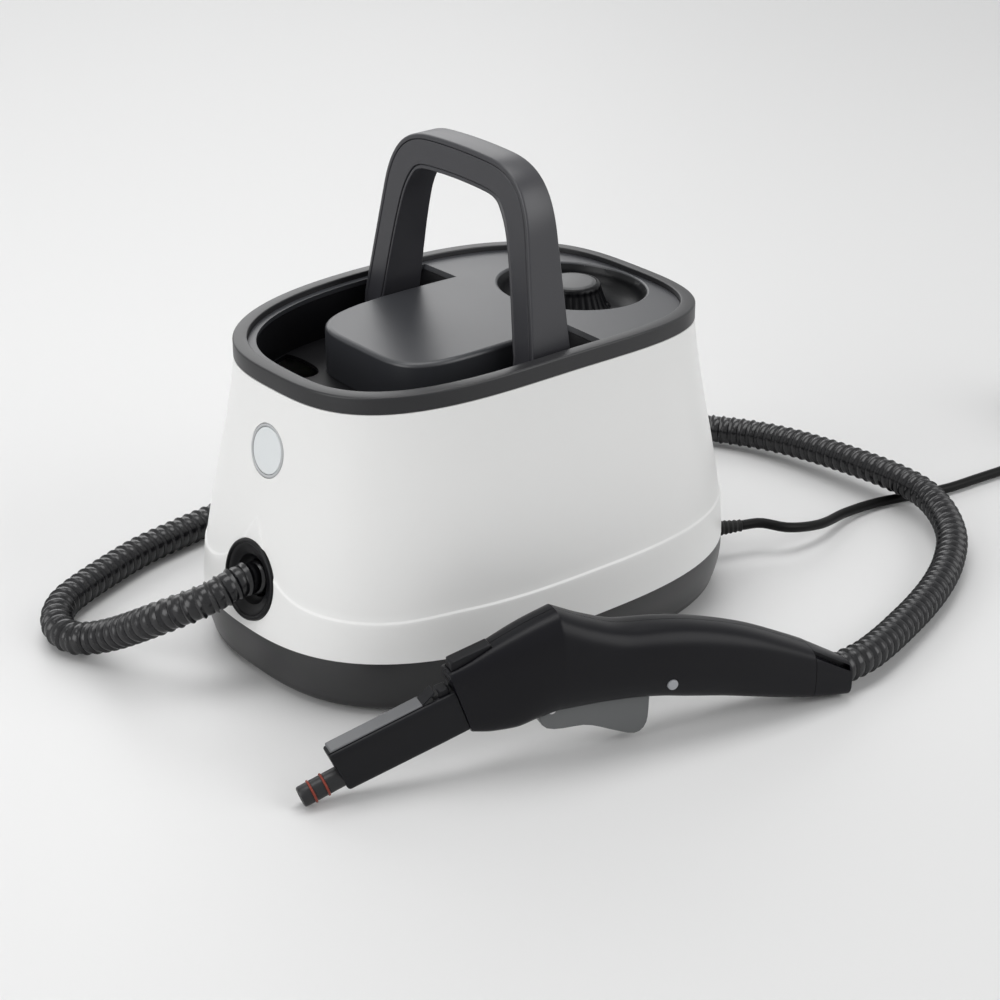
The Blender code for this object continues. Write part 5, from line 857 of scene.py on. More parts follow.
def makeDeck():
    base, roll, rear, length, width = take(deckFacts, "floor", "roll", "plateauRear", "recessLength", "recessWidth")
    wall, narrow, count = take(deckFacts, "bowlWall", "bowlTop", "bowlRows")
    thick, floor, soft = rimFacts["deckThick"], deckTop - deckFacts["recessDepth"], roll / 2
    plate = prism("topDeck", rimOutline(rimFacts["topWidth"] + gap), deckTop - thick, deckTop)
    plateau = prism("plateau", plateauOutline(0, rear), base + gap, deckTop - thick / 2)
    inner = [bowlRing(length + soft, width + soft, deckTop + reachOut)]
    inner += [bowlRing(length + soft * (1 - sin), width + soft * (1 - sin), deckTop - soft * (1 - cos))
              for sin, cos in quarterTurn(5)]
    outer = [bowlRing(length * narrow + wall, width * narrow + wall, deckTop - thick / 2)]
    for step in range(1, count + 1):
        depth = step / count
        wide = narrow - deckFacts["bowlTaper"] * depth ** deckFacts["taperPower"]
        deep = 1 - (1 - depth) ** deckFacts["depthPower"]
        outer.append(bowlRing(length * wide + wall, width * wide + wall, mix(deckTop - soft, floor - wall, deep)))
        inner.append(bowlRing(length * wide, width * wide, mix(deckTop - soft, floor, deep)))
    carve(plate, plateau, skin("bowlHousing", outer), operation="UNION")
    slot = channelSpace("deckSlot", base - reachOut, deckTop + reachOut)
    edges = [(0, base - reachOut * 2)]
    edges += [(roll * (1 - cos), deckTop - roll * (1 - sin)) for sin, cos in quarterTurn(7)]
    edges.append((roll, deckTop + reachOut * 2))
    carve(slot, skin("rolledPlateau", [level(plateauOutline(inset, rear), height) for inset, height in edges]))
    cavity = prism("plateauCavity", plateauOutline(deckFacts["plateauWall"], deckFacts["cavityRear"]),
                   base - reachOut, deckTop - thick - deckFacts["plateauWall"] / 2)
    middle = fromBody((deckFacts["capX"], 0, 0))
    neckHole = rod("neckHole", deckFacts["neck"] + gap, middle + Vector((0, 0, floor - reachOut)),
                   middle + Vector((0, 0, deckTop)), 72)
    carve(plate, slot, skin("capRecess", inner), cavity, neckHole)
    domed(plate)
    complete(plate, "deckGrey", "deck_plastic", "machine", "top_deck")
    # painted shade: the deck's faces deep inside the cap recess get a darker copy of the deck plastic, for the shade
    # there
    plate.data.materials.append(finishes["recessPaintedShade"])
    for face in plate.data.polygons:
        x, y, z = face.center
        deep = deckTop - rimDrop(x - body["x"], 0) - roll * deckFacts["paintedShadeBelow"]
        if math.hypot(x - middle.x, y - middle.y) < width * deckFacts["paintedShadeInside"] and z < deep:
            face.material_index = 1


def makeTray():
    base, wall, length = deckFacts["floor"], deckFacts["wall"], outline["rimLength"]
    inner = rimFacts["topWidth"] + deckFacts["lip"]
    tray = prism("channelTray", rimOutline(rimFacts["topWidth"] + rimFacts["ledge"] + gap), base - wall,
                 deckTop - rimFacts["deckThick"] - gap)
    drain = [(deckFacts["drainX"] + x, deckFacts["drainY"] + y)
             for x, y in outlinePoints(deckFacts["drainLength"], deckFacts["drainWidth"], deckFacts["drainPower"],
                                       count=deckFacts["drainSides"])]
    hole = prism("drainHole", drain, base - reachOut, base + gap)
    carve(hole, prism("drainLimit", rimOutline(inner + wall / 2), base - reachOut * 2, base + reachOut),
          operation="INTERSECT")                     # the drain stays in the channel's floor
    carve(tray, behindPocket("trayRear", wall), channelSpace("traySpace", base, deckTop + reachOut),
          prism("aroundPlateau", plateauOutline(-gap, length), base, deckTop + reachOut),
          prism("floorOpening", plateauOutline(deckFacts["floorInset"], length), base - reachOut,
                deckTop + reachOut), hole)
    domed(tray)
    carve(tray, pinRod("pinHole"))
    complete(tray, "trayBlack", "tray_plastic", "machine", "channel_tray")


makeDeck()
makeTray()
print("deck and channel are made")


# carrying handle

handleFacts = {"front": 0.0158, "back": 0.0136, "lean": 0.0927, "foot": 0.190, "half": 0.084, "taper": 0.185,
               "top": 0.3034, "crown": 0.0053, "cornerRun": 0.041, "cornerPull": 0.62, "thick": 0.0194,
               "edge": 0.0014, "innerEdge": 0.7, "footTurn": 78, "footDepth": 0.0146, "outerMargin": 0.0032,
               "innerMargin": 0.0022, "trimDepth": 0.002, "trimEdge": 0.0004, "lip": (0.0007, 0.0005, 0.0002),
               "cornerMore": 0.18, "cornerMiddle": 0.2880, "cornerAbove": 0.018, "cornerBelow": 0.028,
               "footSteps": 8, "legSteps": 10, "cornerSteps": 18, "crownSteps": 6}


def handleHalf(height):
    half = handleFacts["half"]
    return min(half, half - (height - handleFacts["foot"]) * handleFacts["taper"])


# half span, height and depth from one foot over the top to the other
def handleStations():
    top, run, drop = take(handleFacts, "top", "cornerRun", "crown")
    foot, leg, bent, across = take(handleFacts, "footSteps", "legSteps", "cornerSteps", "crownSteps")
    stations = []
    for step in range(foot + 1):
        angle = math.radians(mix(handleFacts["footTurn"], 0, step / foot))
        height = deckFacts["pinHeight"] - handleFacts["footDepth"] * math.sin(angle)
        stations.append((handleHalf(height), height, math.cos(angle)))
    for step in range(leg + 1):
        height = mix(handleFacts["foot"], top - run, step / leg)
        stations.append((handleHalf(height), height, 1.0))
    start = Vector((handleHalf(top - run), top - run))
    side = start.x - run
    end = Vector((side, top - drop * (side / start.x) ** 2))
    upwards = Vector((-handleFacts["taper"], 1.0)).normalized()
    outwards = Vector((1.0, -2 * drop * side / start.x ** 2)).normalized()
    pull = run * handleFacts["cornerPull"]
    p1, p2 = start + upwards * pull, end + outwards * pull
    for step in range(1, bent + 1):
        t = step / bent
        point = start * (1 - t) ** 3 + p1 * 3 * t * (1 - t) ** 2 + p2 * 3 * t * t * (1 - t) + end * t ** 3
        stations.append((point.x, point.y, 1.0))
    for step in range(1, across):
        y = side * (1 - step / across)
        stations.append((y, top - drop * (y / start.x) ** 2, 1.0))
    mirrored = [(-y, height, depth) for y, height, depth in reversed(stations)]
    return stations + [(0.0, top, 1.0)] + mirrored


def handleRings(section):
    stations = handleStations()
    rings = []
    for step, (y, height, depth) in enumerate(stations):
        before, after = stations[max(0, step - 1)], stations[min(len(stations) - 1, step + 1)]
        run = Vector((after[0] - before[0], after[1] - before[1])).normalized()
        inward = Vector((-run.y, run.x))
        if depth < 1.0 or height <= handleFacts["foot"]:
            inward = Vector((-math.copysign(1.0, y), 0.0))
        away = height - handleFacts["cornerMiddle"]
        width = handleFacts["cornerAbove"] if away > 0 else handleFacts["cornerBelow"]
        fuller = 1 + handleFacts["cornerMore"] * math.exp(-(away / width) ** 2)      # the inner corner is fuller
        ring = []
        for across, backShare, further in section:
            point = Vector((y, height)) + inward * (across * fuller if across > handleFacts["thick"] / 2 else across)
            front = -handleFacts["front"] + (point.y - handleFacts["foot"]) * handleFacts["lean"]
            ring.append(fromBody((mix(front, handleFacts["back"], backShare) * depth + further, point.x, point.y)))
        rings.append(ring)
    return rings


def makeHandle():
    edge, thick, small, outer, depth = take(handleFacts, "edge", "thick", "trimEdge", "outerMargin", "trimDepth")
    inner = thick - handleFacts["innerMargin"]
    lipDepth, lipWidth, lipSlope = handleFacts["lip"]
    fine = edge * handleFacts["innerEdge"]

    def rounded(across, backShare, outwards, backwards, width):
        return [(across + outwards * width * (1 - sin), backShare, backwards * width * (1 - cos))
                for sin, cos in quarterTurn(4)]

    section = rounded(0, 0, 1, 1, edge)[::-1]
    section += [(outer - small, 0, 0), (outer, 0, small), (outer, 0, depth), (inner, 0, depth), (inner, 0, lipDepth),
                (inner + lipWidth, 0, lipSlope)]
    section += rounded(thick, 0, -1, 1, fine) + rounded(thick, 1, -1, -1, fine)[::-1] + rounded(0, 1, 1, -1, edge)
    bow = skin("carryHandle", handleRings(section))
    carve(bow, pinRod("pinBore"))
    low, high = outer + gap, inner - gap
    trim = skin("handleTrim", handleRings([(low, 0, small), (low + small, 0, 0), (high - small, 0, 0),
                                           (high, 0, small), (high, 0, depth - gap), (low, 0, depth - gap)]))
    complete(bow, "handleGrey", "handle_plastic", "handle", "handle_bow")
    complete(trim, "handleGrey", "handle_plastic", "handle", "handle_front_trim")


makeHandle()
print("handle is made")


# filler cap

capFacts = {"topRadius": 0.0186, "skirt": 0.0252, "roof": 0.0207, "lobes": 24, "lobeDepth": 0.0010,
            "lobePower": 0.7, "lobeFoot": 0.6, "lobeFade": 0.35, "liftRoom": 0.0023, "shoulderDrop": 0.0044,
            "dome": 0.0036, "flare": 0.62, "edge": 0.0006, "disc": 0.0156, "discDepth": 0.0012,
            "discDome": 0.0006, "discEdge": 0.0010, "discShares": (0, 0.2, 0.4, 0.6, 0.8, 0.95),
            "flangeInside": 0.0228, "flangeStack": (0.0012, 0.0015, 0.0018), "rows": 8, "lobeSides": 8,
            "domeSteps": 7, "lobesEnd": 4}


def makeCap():
    floor, count, edge = deckTop - deckFacts["recessDepth"], capFacts["rows"], capFacts["edge"]
    skirt, top = floor + capFacts["liftRoom"], floor + capFacts["roof"]
    wide, narrow, inside, disc = take(capFacts, "skirt", "topRadius", "flangeInside", "disc")
    shoulder, under = top - capFacts["shoulderDrop"], top - capFacts["discDepth"] - gap
    seat, seal, flange = capFacts["flangeStack"]
    deep, sides = capFacts["lobeDepth"], capFacts["lobes"] * capFacts["lobeSides"]

    def ring(radius, height, depth):
        points = []
        for side in range(sides):
            angle = 2 * math.pi * side / sides
            lobe = abs(math.sin(angle * capFacts["lobes"] / 2)) ** capFacts["lobePower"]
            reach = radius - depth * (1 - lobe)
            points.append((deckFacts["capX"] + reach * math.cos(angle), reach * math.sin(angle)))
        return level(points, height)

    rows = [ring(inside, floor + seat + gap + seal + gap + flange + gap, 0), ring(inside, skirt, 0),
            ring(wide - edge, skirt, deep * capFacts["lobeFoot"]), ring(wide, skirt + edge, deep)]
    for step in range(1, count + 1):
        share = step / count
        rows.append(ring(mix(wide, narrow, share ** capFacts["flare"]), mix(skirt + edge, shoulder, share),
                         deep * (1 - capFacts["lobeFade"] * share)))
    for step, (sin, cos) in list(enumerate(quarterTurn(capFacts["domeSteps"])))[1:]:
        rows.append(ring(narrow - (narrow - disc - gap) * (1 - cos), shoulder + capFacts["dome"] * sin,
                         deep * (1 - capFacts["lobeFade"]) * max(0.0, 1 - step / capFacts["lobesEnd"])))
    knob = skin("capKnob", rows + [ring(disc + gap, under - gap, 0)])
    crown = [(disc * share, top - capFacts["discDome"] * share ** 2) for share in capFacts["discShares"]]
    discPiece = spun("capDisc", crown + [(disc, top - capFacts["discEdge"]), (disc, under), (0, under)],
                     fromBody((deckFacts["capX"], 0, 0)))
    complete(knob, "capBlack", "cap_plastic", "cap_top", "cap_knob")
    complete(discPiece, "capGrey", "cap_disc_plastic", "cap_top", "cap_disc")


makeCap()


# button and gland

def makeButton():
    place, out = shellFace(math.pi, buttonFacts["height"])
    radius, bezel, dish, depth, count = take(buttonFacts, "radius", "bezel", "dish", "depth", "rows")
    edge, small, back = buttonFacts["edge"], buttonFacts["innerEdge"], gap - buttonFacts["bezelDepth"]
    floor, hole = back + buttonFacts["bezelFloor"], radius + gap
    ringPiece = spun("buttonBezel", ((hole, gap - small), (hole + small, gap), (bezel - edge, gap),
                                     (bezel, gap - edge), (bezel, back), (0, back), (0, floor), (hole, floor)),
                     fromBody(place), out, roundSides)
    across, down = buttonFacts["faceEdge"]
    face = [(0, -dish)]
    for step in range(1, count + 1):
        face.append((radius * buttonFacts["flatShare"] * step / count, -dish * (1 - (step / count) ** 2)))
    button = spun("powerButton", face + [(radius - across, -down), (radius, -edge), (radius, -depth), (0, -depth)],
                  fromBody(place), out, roundSides)
    complete(ringPiece, "bezelGrey", "bezel_plastic", "machine", "button_bezel")
    complete(button, "buttonGrey", "button_plastic", "button", "power_button")


# how far the shell's front falls back at this distance from the middle
def glandSag(across):
    share = shellShare(glandFacts["height"])
    line = [shellPoint(math.pi - glandFacts["sagTurn"] * step, share) for step in range(glandFacts["sagPoints"])]
    for first, second in zip(line, line[1:]):
        if first.y <= abs(across) <= second.y:
            return mix(first.x, second.x, (abs(across) - first.y) / (second.y - first.y)) - line[0].x
    return 0.0


bootFacts = {"tip": 0.0042, "wide": 0.0075, "edge": 0.0005, "tipEdge": 0.0004, "ribs": 11, "ribDeep": 0.0007,
             "ribsFrom": 0.001, "ribsTo": 0.0026, "taperPower": 1.2, "flangeTop": 0.0020, "behind": 0.005,
             "sides": 48}


def makeGland():
    place, out = shellFace(math.pi, glandFacts["height"])
    radius, mouth, throat, proud, depth, dish, lip = take(glandFacts, "radius", "mouth", "throat", "proud", "depth",
                                                          "dish", "lip")
    half, waist, steps = lip / 2, -depth * glandFacts["waist"], glandFacts["steps"]
    profile = []
    for step in range(steps + 1):
        bend = math.pi * step / steps
        profile.append((radius - half + half * -math.cos(bend), proud - half * (1 - math.sin(bend))))
    profile += [(radius, -depth / 2), (mouth + lip, -depth), (throat, -depth), (throat + gap, waist)]
    for step in range(steps + 1):
        share = step / steps
        profile.append((mix(throat + gap, mouth, share ** glandFacts["mouthPower"]), mix(waist, -dish, share)))
    for step in range(1, steps):
        share = step / steps
        profile.append((mix(mouth, radius - lip, share),
                        mix(-dish, proud - half, smoothShare(share) ** glandFacts["dishPower"])))
    centre = fromBody(place)
    gland = spun("hoseGland", profile, centre, out, roundSides)
    for point in gland.data.vertices:
        away = point.co - centre
        across = away - out * away.dot(out)
        share = (across.length - mouth) / (radius - mouth)
        if share > 0:
            point.co -= out * glandSag(across.y) * smoothShare(min(1.0, share))
    complete(gland, "glandBlack", "gland_plastic", "machine", "hose_gland")


makeButton()
makeGland()


# strain relief and plug

def makeRelief():
    place, out = leadExit()
    length, root = take(leadFacts, "reliefLength", "reliefRoot")
    tip, wide, back, edge, small = take(bootFacts, "tip", "wide", "behind", "edge", "tipEdge")
    flange, count = take(bootFacts, "flangeTop", "ribs")
    profile = [(0, length), (tip - small, length), (tip, length - small)]
    for step in range(1, count + 1):
        flat = mix(tip, root, (step / count) ** bootFacts["taperPower"])
        profile.append((flat - (bootFacts["ribDeep"] if step % 2 else 0.0),
                        mix(length - bootFacts["ribsFrom"], bootFacts["ribsTo"], step / count)))
    profile += [(wide - edge, flange), (wide, flange - edge), (wide, gap * 3), (root, gap * 3), (root, -back),
                (0, -back)]
    relief = spun("strainRelief", profile, fromBody(place), out, bootFacts["sides"])
    complete(relief, "rubberBlack", "relief_rubber", "machine", "strain_relief")


plugFacts = {"width": 0.036, "height": 0.026, "length": 0.042, "power": 3.0, "pin": 0.0024, "pinLength": 0.019,
             "pinEdge": 0.001, "pinTip": 0.6, "pinRoot": 0.9, "spacing": 0.019, "sides": 64, "pinSides": 32,
             "shares": ((0.0, 0.30), (0.01, 0.34), (0.18, 0.42), (0.34, 0.56), (0.42, 0.74), (0.48, 0.93),
                        (0.53, 1.0), (0.60, 1.0), (0.95, 0.93), (0.99, 0.90), (1.0, 0.86))}


def makePlug(end, way):
    turn = Matrix.Rotation(math.atan2(way.y, way.x), 4, "Z")
    place = Matrix.Translation(end + way * gap) @ turn
    length, thick = plugFacts["length"], plugFacts["pin"]
    tip, root = length + plugFacts["pinLength"], length * plugFacts["pinRoot"]
    rings = []
    for along, share in plugFacts["shares"]:
        points = outlinePoints(plugFacts["width"] / 2 * share, plugFacts["height"] / 2 * share, plugFacts["power"],
                               count=plugFacts["sides"])
        rings.append([place @ Vector((length * along, x, y)) for x, y in points])
    plug = skin("mainsPlug", rings)
    for side in (-1, 1):
        pin = spun("plugPin", ((0, tip), (thick * plugFacts["pinTip"], tip), (thick, tip - plugFacts["pinEdge"]),
                               (thick, root), (0, root)), (0, 0, 0), steps=plugFacts["pinSides"])
        pin.data.transform(place @ Matrix.Translation((0, side * plugFacts["spacing"] / 2, 0))
                           @ Matrix.Rotation(math.pi / 2, 4, "Y"))
        carve(plug, pin, operation="UNION")
    complete(plug, "leadBlack", "plug_plastic", "machine", "mains_plug")
    return plug


makeRelief()
plug = makePlug(leadPath[-1], (leadPath[-1] - leadPath[-2]).normalized())
print("cap, button, gland and plug are made")


# steam gun

noseSections = (  # along, bottom, top, half width, power, lean
    (0.0210, 0.0074, 0.0323, 0.0070, 7.0, 0.46), (0.0400, 0.0133, 0.0384, 0.0071, 7.0, 0.46),
    (0.0757, 0.0243, 0.0499, 0.0073, 7.0, 0.44), (0.0944, 0.0300, 0.0560, 0.0075, 7.0, 0.346))
gunSections = (
    (0.0930, 0.0282, 0.0680, 0.0092, 4.8, 0.346), (0.1060, 0.0256, 0.0728, 0.0110, 3.9, 0.30),
    (0.1200, 0.0250, 0.0800, 0.0133, 3.3, 0.20), (0.1360, 0.0279, 0.0878, 0.0157, 3.0, 0.08),
    (0.1520, 0.0305, 0.0937, 0.0171, 2.8, 0.0),
    (0.1720, 0.0305, 0.0838, 0.0175, 2.8, 0.0), (0.1930, 0.0295, 0.0762, 0.0175, 2.8, 0.0),
    (0.2160, 0.0262, 0.0732, 0.0175, 2.8, 0.0), (0.2320, 0.0225, 0.0703, 0.0174, 2.8, 0.0),
    (0.2550, 0.0175, 0.0640, 0.0170, 2.8, 0.0), (0.2780, 0.0120, 0.0555, 0.0165, 3.0, 0.0),
    (0.3020, 0.0062, 0.0440, 0.0155, 3.2, 0.0), (0.3200, 0.0030, 0.0345, 0.0145, 3.6, 0.0),
    (0.3372, 0.0008, 0.0250, 0.0134, 4.0, 0.0))
gunParts = {"spigotHeight": 0.0062, "spigotSlope": math.radians(19.4), "spigotRadius": 0.0062, "spigotLength": 0.038,
            "spigotBore": 0.0018, "spigotSides": 64, "sealPoints": 16, "seal": 0.0007,
            "sealShares": (0.19, 0.40), "groove": 0.0009, "ringPoints": 96,
            "tipOutside": ((0, 0.0012), (-0.0003, 0.0004), (-0.0010, 0)),
            "tipInside": ((0.0016, 0), (0.0012, 0.0010), (0, 0.0012)),
            "pivotX": 0.1475, "pivotZ": 0.0335, "triggerHalf": 0.0062, "slotRoof": 0.0495, "triggerEnd": 0.2142,
            "eye": 0.0052, "clear": 0.0006, "lockX": 0.2196, "lockZ": 0.0385, "lockRadius": 0.0032,
            "lockHalf": 0.0182, "valveX": 0.186, "valveZ": 0.0600, "valveLength": 0.022, "valveHeight": 0.018,
            "valveHalf": 0.008, "tube": 0.0026, "releaseFront": 0.0885, "releaseRear": 0.1125, "releaseHalf": 0.0045,
            "releaseSink": 0.0050, "frontRise": 0.0052, "rearRise": 0.0018, "latchClear": 0.0004, "slide": 0.0025,
            "hump": 0.1520, "pin": 0.0022, "pinHalf": 0.0100, "boreHalf": 0.04, "tailBore": 0.010,
            "tailSlot": ((0.3128, 0.0344, 0.0376), (0.3400, 0.0190, 0.0226)), "tailSlotFar": -0.0088,
            "splitEdges": ((0, 0.0007), (0.0002, 0.0002)), "splitFrom": 0.0008, "releaseEdge": 0.0009,
            "lockEdge": 0.0006, "triggerEdge": 0.0012}
noseParts = {"rise": 0.3207, "level": 0.0323, "from": 0.0151, "stripFront": 0.0172, "stripRear": 0.0722,
             "stripNear": -0.0040, "stripFar": 0.0064, "groove": 0.0006, "grooveDeep": 0.0009, "hole": 0.0812,
             "tipEdges": ((0, 0.0014), (0.0003, 0.0006), (0.0010, 0.0001)), "tipFrom": 0.0020,
             "notchFront": 0.0036, "notchRear": 0.0052}
noseSlabs = (  # name, finish, start and end (place, forward, low and high over the nose), narrower, rounding
    # the strip's light grey finish is painted sheen, standing in for light from above on the nose's top
    ("noseStrip", "stripSheenGrey", ("stripFront", 0, -0.0006, 0.0009), ("stripRear", 0, -0.0006, 0.0009), 0, 0.0007),
    ("noseHook", "gunSlate", ("stripRear", -0.0010, -0.0008, 0.0006), ("stripRear", 0.0066, 0.0056, 0.0072),
     0.0014, 0.0004),
    ("noseTab", "gunSlate", ("hole", 0, -0.0012, 0.0034), ("hole", 0.0064, -0.0012, 0.0049), 0.0014, 0.0008))


# a section between the given ones, with no overshoot and a crease at the hump
def gunSectionAt(along, sections=gunSections):
    before = [section for section in sections if section[0] <= gunParts["hump"]]
    after = [section for section in sections if section[0] >= gunParts["hump"]]
    row = before if along <= gunParts["hump"] else after
    along = min(max(along, row[0][0]), row[-1][0])
    for step in range(len(row) - 1):
        if row[step][0] <= along <= row[step + 1][0]:
            break
    start, end = row[step], row[step + 1]
    span = end[0] - start[0]
    share = (along - start[0]) / span
    values = []
    for k in range(6):
        def slope(at):
            if at == 0 or at == len(row) - 1:
                other = 1 if at == 0 else at - 1
                return (row[other][k] - row[at][k]) / (row[other][0] - row[at][0])
            left = (row[at][k] - row[at - 1][k]) / (row[at][0] - row[at - 1][0])
            right = (row[at + 1][k] - row[at][k]) / (row[at + 1][0] - row[at][0])
            return 0.0 if left * right <= 0 else 2 * left * right / (left + right)
        a, b = slope(step) * span, slope(step + 1) * span
        values.append((2 * share ** 3 - 3 * share ** 2 + 1) * start[k] + (share ** 3 - 2 * share ** 2 + share) * a
                      + (-2 * share ** 3 + 3 * share ** 2) * end[k] + (share ** 3 - share ** 2) * b)
    values[0] = along
    return values


def gunRing(along, inset=0.0, sections=gunSections):
    along, low, high, half, power, lean = gunSectionAt(along, sections)
    middle = (low + high) / 2
    reach = max(0.0, (along - gunFacts["tailSeam"]) / (gunFacts["end"] - gunFacts["tailSeam"]))
    swing = math.tan(gunFacts["tailSwing"]) * reach
    ring = []
    for across, z in outlinePoints(half - inset, (high - low) / 2 - inset, power, count=gunParts["ringPoints"]):
        ring.append(Vector((along - lean * z - swing * across, across, middle + z)))
    return ring


def gunStationsBetween(start, end, step=0.0025):
    count = max(2, round((end - start) / step))
    places = [mix(start, end, k / count) for k in range(count + 1)]
    hump = gunParts["hump"]
    if start < hump < end:
        places = sorted(places + [hump])
    return places


# one side of the gun's section, up to the seam
def halfRing(along, side, inset=0.0):
    ring = gunRing(along, inset)
    section = gunSectionAt(along)
    middle = (section[1] + section[2]) / 2
    half = []
    for point in ring:
        if abs(point.y) < gap / 2:
            point.y = side * gap / 2
        if point.y * side > 0:
            half.append(point)
    half.sort(key=lambda point: math.atan2(point.z - middle, point.y * side))
    return [fromGun(point) for point in half]


def gunTube(name, start, end, radius):
    return rod(name, radius, fromGun(start), fromGun(end), 24)


def acrossGun(name, radius, key, half, sides=24):
    x, z = gunParts[key + "X"], gunParts[key + "Z"]
    return rod(name, radius, fromGun((x, -half, z)), fromGun((x, half, z)), sides)


def slab(name, start, end, near, far):
    rings = []
    for along, low, high in (start, end):
        rings.append([fromGun(point) for point in ((along, near, low), (along, far, low), (along, far, high),
                                                   (along, near, high))])
    return skin(name, rings)


def noseTop(along, over=0.0):
    return noseParts["level"] + noseParts["rise"] * (along - noseParts["from"]) + over


def gunTop(along):
    line = []
    for section in gunSections:
        line.append((section[0] - section[5] * (section[2] - section[1]) / 2, section[2]))
    for first, second in zip(line, line[1:]):
        if first[0] <= along <= second[0]:
            return mix(first[1], second[1], (along - first[0]) / (second[0] - first[0]))
    return line[-1][1]


def releaseBlock(name, grow=0.0, deeper=0.0, extra=0.0):
    front, rear = gunParts["releaseFront"] - grow, gunParts["releaseRear"] + grow
    half, sink = gunParts["releaseHalf"] + grow, gunParts["releaseSink"] + deeper
    frontTop, rearTop = gunTop(gunParts["releaseFront"]), gunTop(rear)
    return slab(name, (front, frontTop - sink, frontTop + gunParts["frontRise"] + extra),
                (rear, rearTop - sink, rearTop + gunParts["rearRise"] + extra), -half, half)


def spigotLine():
    slope = gunParts["spigotSlope"]
    tip, way = Vector((0, 0, gunParts["spigotHeight"])), Vector((math.cos(slope), 0, math.sin(slope)))
    return tip, way, tip + way * gunParts["spigotLength"]


def tubeBore(fromFront):
    valve = Vector((gunParts["valveX"], 0, gunParts["valveZ"]))
    start = Vector((gunFacts["end"] - gunParts["tailBore"], 0, (gunFacts["tailLow"] + gunFacts["tailHigh"]) / 2))
    if fromFront:
        start = spigotLine()[2]
    way = (valve - start).normalized()
    start = start - way * gap * 2 if fromFront else start
    return gunTube("tubeBore", start, valve - way * gunParts["valveLength"] / 4, gunParts["tube"] + gap)


def makeSpigot():
    radius, length, bore, seal = take(gunParts, "spigotRadius", "spigotLength", "spigotBore", "seal")
    sides, count = take(gunParts, "spigotSides", "sealPoints")
    tip, way, _ = spigotLine()
    place, axis, deep = fromGun(tip), fromGun(tip + way) - fromGun(tip), radius - gunParts["groove"]
    profile = [(bore, length), (radius, length)]
    for share in reversed(gunParts["sealShares"]):
        middle, half = length * share, seal + gap
        profile += [(radius, middle + half), (deep, middle + half), (deep, middle - half), (radius, middle - half)]
    profile += [(radius + further, height) for further, height in gunParts["tipOutside"]]
    profile += [(bore + further, height) for further, height in gunParts["tipInside"]]
    spigot = spun("nozzleSpigot", profile, place, axis, sides)
    complete(spigot, "spigotBlack", "spigot_plastic", "machine", "nozzle_spigot")
    turns = [2 * math.pi * k / count for k in range(count)]
    for name, node, share in zip(("sealFront", "sealRear"), ("spigot_seal_front", "spigot_seal_rear"),
                                 gunParts["sealShares"]):
        ring = [(deep + gap + seal + seal * math.cos(turn), length * share - seal * math.sin(turn)) for turn in turns]
        complete(spun(name, ring, place, axis, sides), "sealRed", "seal_rubber", "machine", node)


def onNose(key, forward, low, high):
    along = noseParts[key]
    return along + forward, noseTop(along, low), noseTop(along, high)


def makeNose():
    front, near, far, deep = take(noseParts, "stripFront", "stripNear", "stripFar", "grooveDeep")
    tip, way, end = spigotLine()
    start = noseSections[0][0]
    rings = [gunRing(start + forward, inset, noseSections) for forward, inset in noseParts["tipEdges"]]
    rings += [gunRing(along, 0.0, noseSections)
              for along in gunStationsBetween(start + noseParts["tipFrom"], noseSections[-1][0])]
    nose = skin("gunNose", [[fromGun(point) for point in ring] for ring in rings])
    carve(nose, rod("spigotBore", gunParts["spigotRadius"] + gap, fromGun(tip), fromGun(end + way * gap), 48),
          tubeBore(True),
          slab("noseGroove", (front - reachOut, noseTop(front - reachOut, -deep), noseTop(front, reachOut)),
               onNose("stripRear", 0, -deep, reachOut), near - noseParts["groove"], near),
          slab("noseNotch", onNose("stripRear", 0, -noseParts["notchFront"], reachOut),
               onNose("hole", 0, -noseParts["notchRear"], reachOut), near, far + reachOut))
    complete(nose, "gunSlate", "nose_plastic", "machine", "gun_nose")
    for name, finish, first, last, narrower, rounding in noseSlabs:
        piece = slab(name, onNose(*first), onNose(*last), near, far - narrower)
        bevelEdges(piece, rounding)
        complete(piece, finish, "nose_plastic", "machine", "gun_nose")


def makeGunShells():
    eye, clear, roof = take(gunParts, "eye", "clear", "slotRoof")
    split = gunFacts["split"]
    half, front = gunParts["triggerHalf"] + clear, gunParts["pivotX"] - eye - clear
    rear = gunParts["triggerEnd"] + clear * 2
    side = ((front, -reachOut), (rear, -reachOut), (rear, roof), (front + reachOut, roof),
            (front, gunParts["pivotZ"] + eye + clear))
    valve, middle = Vector((gunParts["valveX"], 0, gunParts["valveZ"])), gunParts["valveHalf"] + gap
    along, high = gunParts["valveLength"] / 2 + gap, gunParts["valveHeight"] / 2 + gap
    for name, node, sign in (("gunNear", "gun_shell_near", -1), ("gunFar", "gun_shell_far", 1)):
        rings = [halfRing(split + forward, sign, inset) for forward, inset in gunParts["splitEdges"]]
        rings += [halfRing(place, sign)
                  for place in gunStationsBetween(split + gunParts["splitFrom"], gunFacts["tailSeam"] - gap)]
        shell = skin(name, rings)
        room = brick("valveRoom", (valve.x - along, -middle, roof - gap), (valve.x + along, middle, valve.z + high))
        room.data.transform(gunMatrix())
        slot = skin("triggerSlot", [[fromGun((x, y, z)) for x, z in side] for y in (-half, half)])
        carve(shell, room, slot, tubeBore(True), tubeBore(False),
              releaseBlock("shellLatch", gunParts["latchClear"], gunParts["slide"] + gap, reachOut),
              acrossGun("lockBore", gunParts["lockRadius"] + gap, "lock", gunParts["boreHalf"]),
              acrossGun("pinBore", gunParts["pin"] + gap, "pivot", gunParts["pinHalf"] + gap))
        complete(shell, "gunBlack", "gun_plastic", "machine", node)


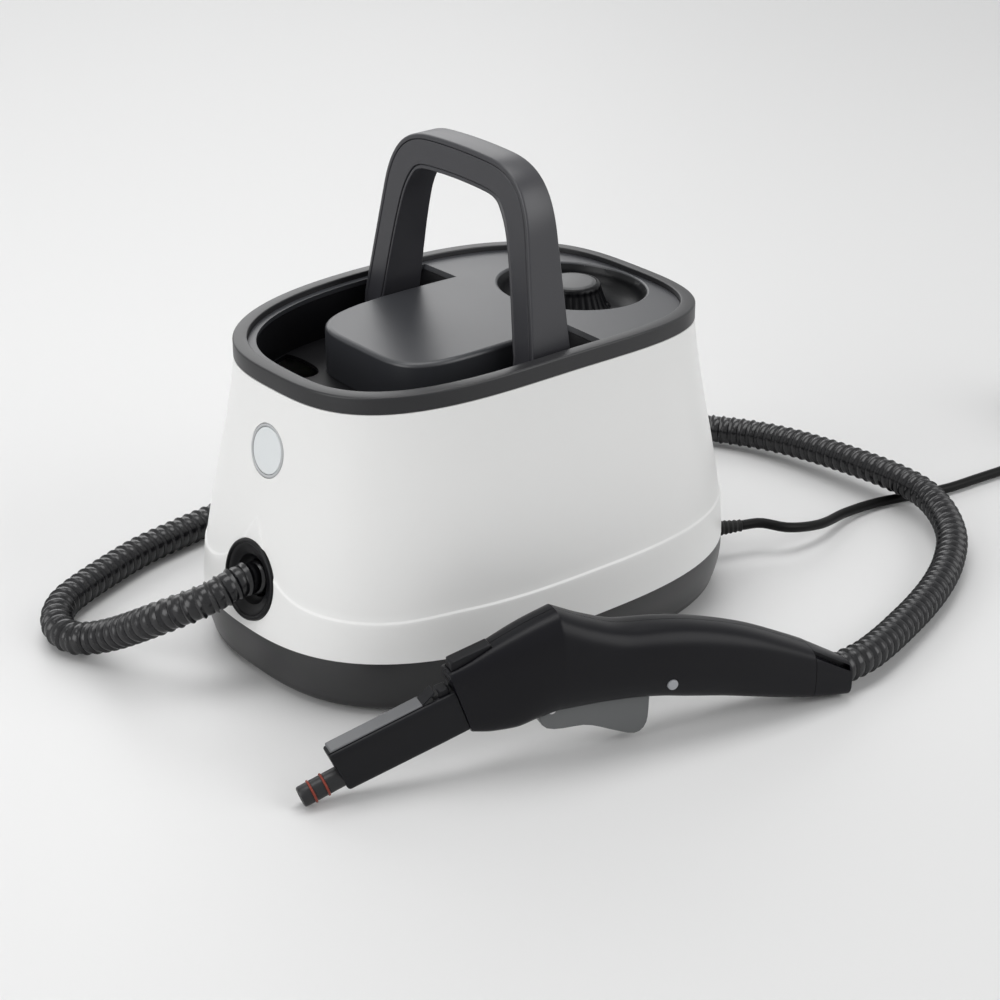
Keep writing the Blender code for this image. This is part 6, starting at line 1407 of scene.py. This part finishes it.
def makeGunTail():
    collar = skin("gunTail", [[fromGun(point) for point in gunRing(along)]
                              for along in gunStationsBetween(gunFacts["tailSeam"], gunFacts["end"])])
    carve(collar, tubeBore(False), slab("tailSlot", *gunParts["tailSlot"], -reachOut, gunParts["tailSlotFar"]))
    complete(collar, "gunBlack", "gun_plastic", "machine", "gun_tail_collar")


def makeGunButtons():
    release = releaseBlock("releaseButton")
    bevelEdges(release, gunParts["releaseEdge"])
    complete(release, "gunSlate", "nose_plastic", "release", "release_button")
    lock = acrossGun("triggerLock", gunParts["lockRadius"], "lock", gunParts["lockHalf"], 48)
    bevelEdges(lock, gunParts["lockEdge"])
    complete(lock, "lockGrey", "lock_plastic", "lock", "trigger_lock")


def gunMatrix():
    return Matrix.Translation(fromGun((0, 0, 0))) @ Matrix.Rotation(gunFacts["angle"], 4, "Z")


triggerOutline = ((-0.0045, 0.0030), (-0.0060, -0.0063), (-0.0044, -0.0108), (-0.0015, -0.0135), (0.0030, -0.0150),
                  (0.0082, -0.0157), (0.0150, -0.0160), (0.0212, -0.0164), (0.0268, -0.0179), (0.0318, -0.0200),
                  (0.0385, -0.0232), (0.0452, -0.0262), (0.0500, -0.0283), (0.0540, -0.0293), (0.0573, -0.0288),
                  (0.0600, -0.0268), (0.0617, -0.0238), (0.0625, -0.0200), (0.0629, -0.0140), (0.0631, -0.0080),
                  (0.0632, 0.0010), (0.0600, 0.0030), (0.0030, 0.0030), (-0.0010, 0.0048))


def makeTrigger():
    side = [(gunParts["pivotX"] + x, gunParts["pivotZ"] + z) for x, z in triggerOutline]
    half = gunParts["triggerHalf"]
    lever = skin("triggerLever", [[fromGun((x, y, z)) for x, z in side] for y in (-half, half)])
    carve(lever, acrossGun("triggerBore", gunParts["pin"] + gap, "pivot", reachOut))
    bevelEdges(lever, gunParts["triggerEdge"])
    complete(lever, "triggerGrey", "trigger_plastic", "trigger_lever", "trigger")


makeSpigot()
makeNose()
makeGunShells()
makeGunTail()
makeGunButtons()
makeTrigger()
print("gun is made")
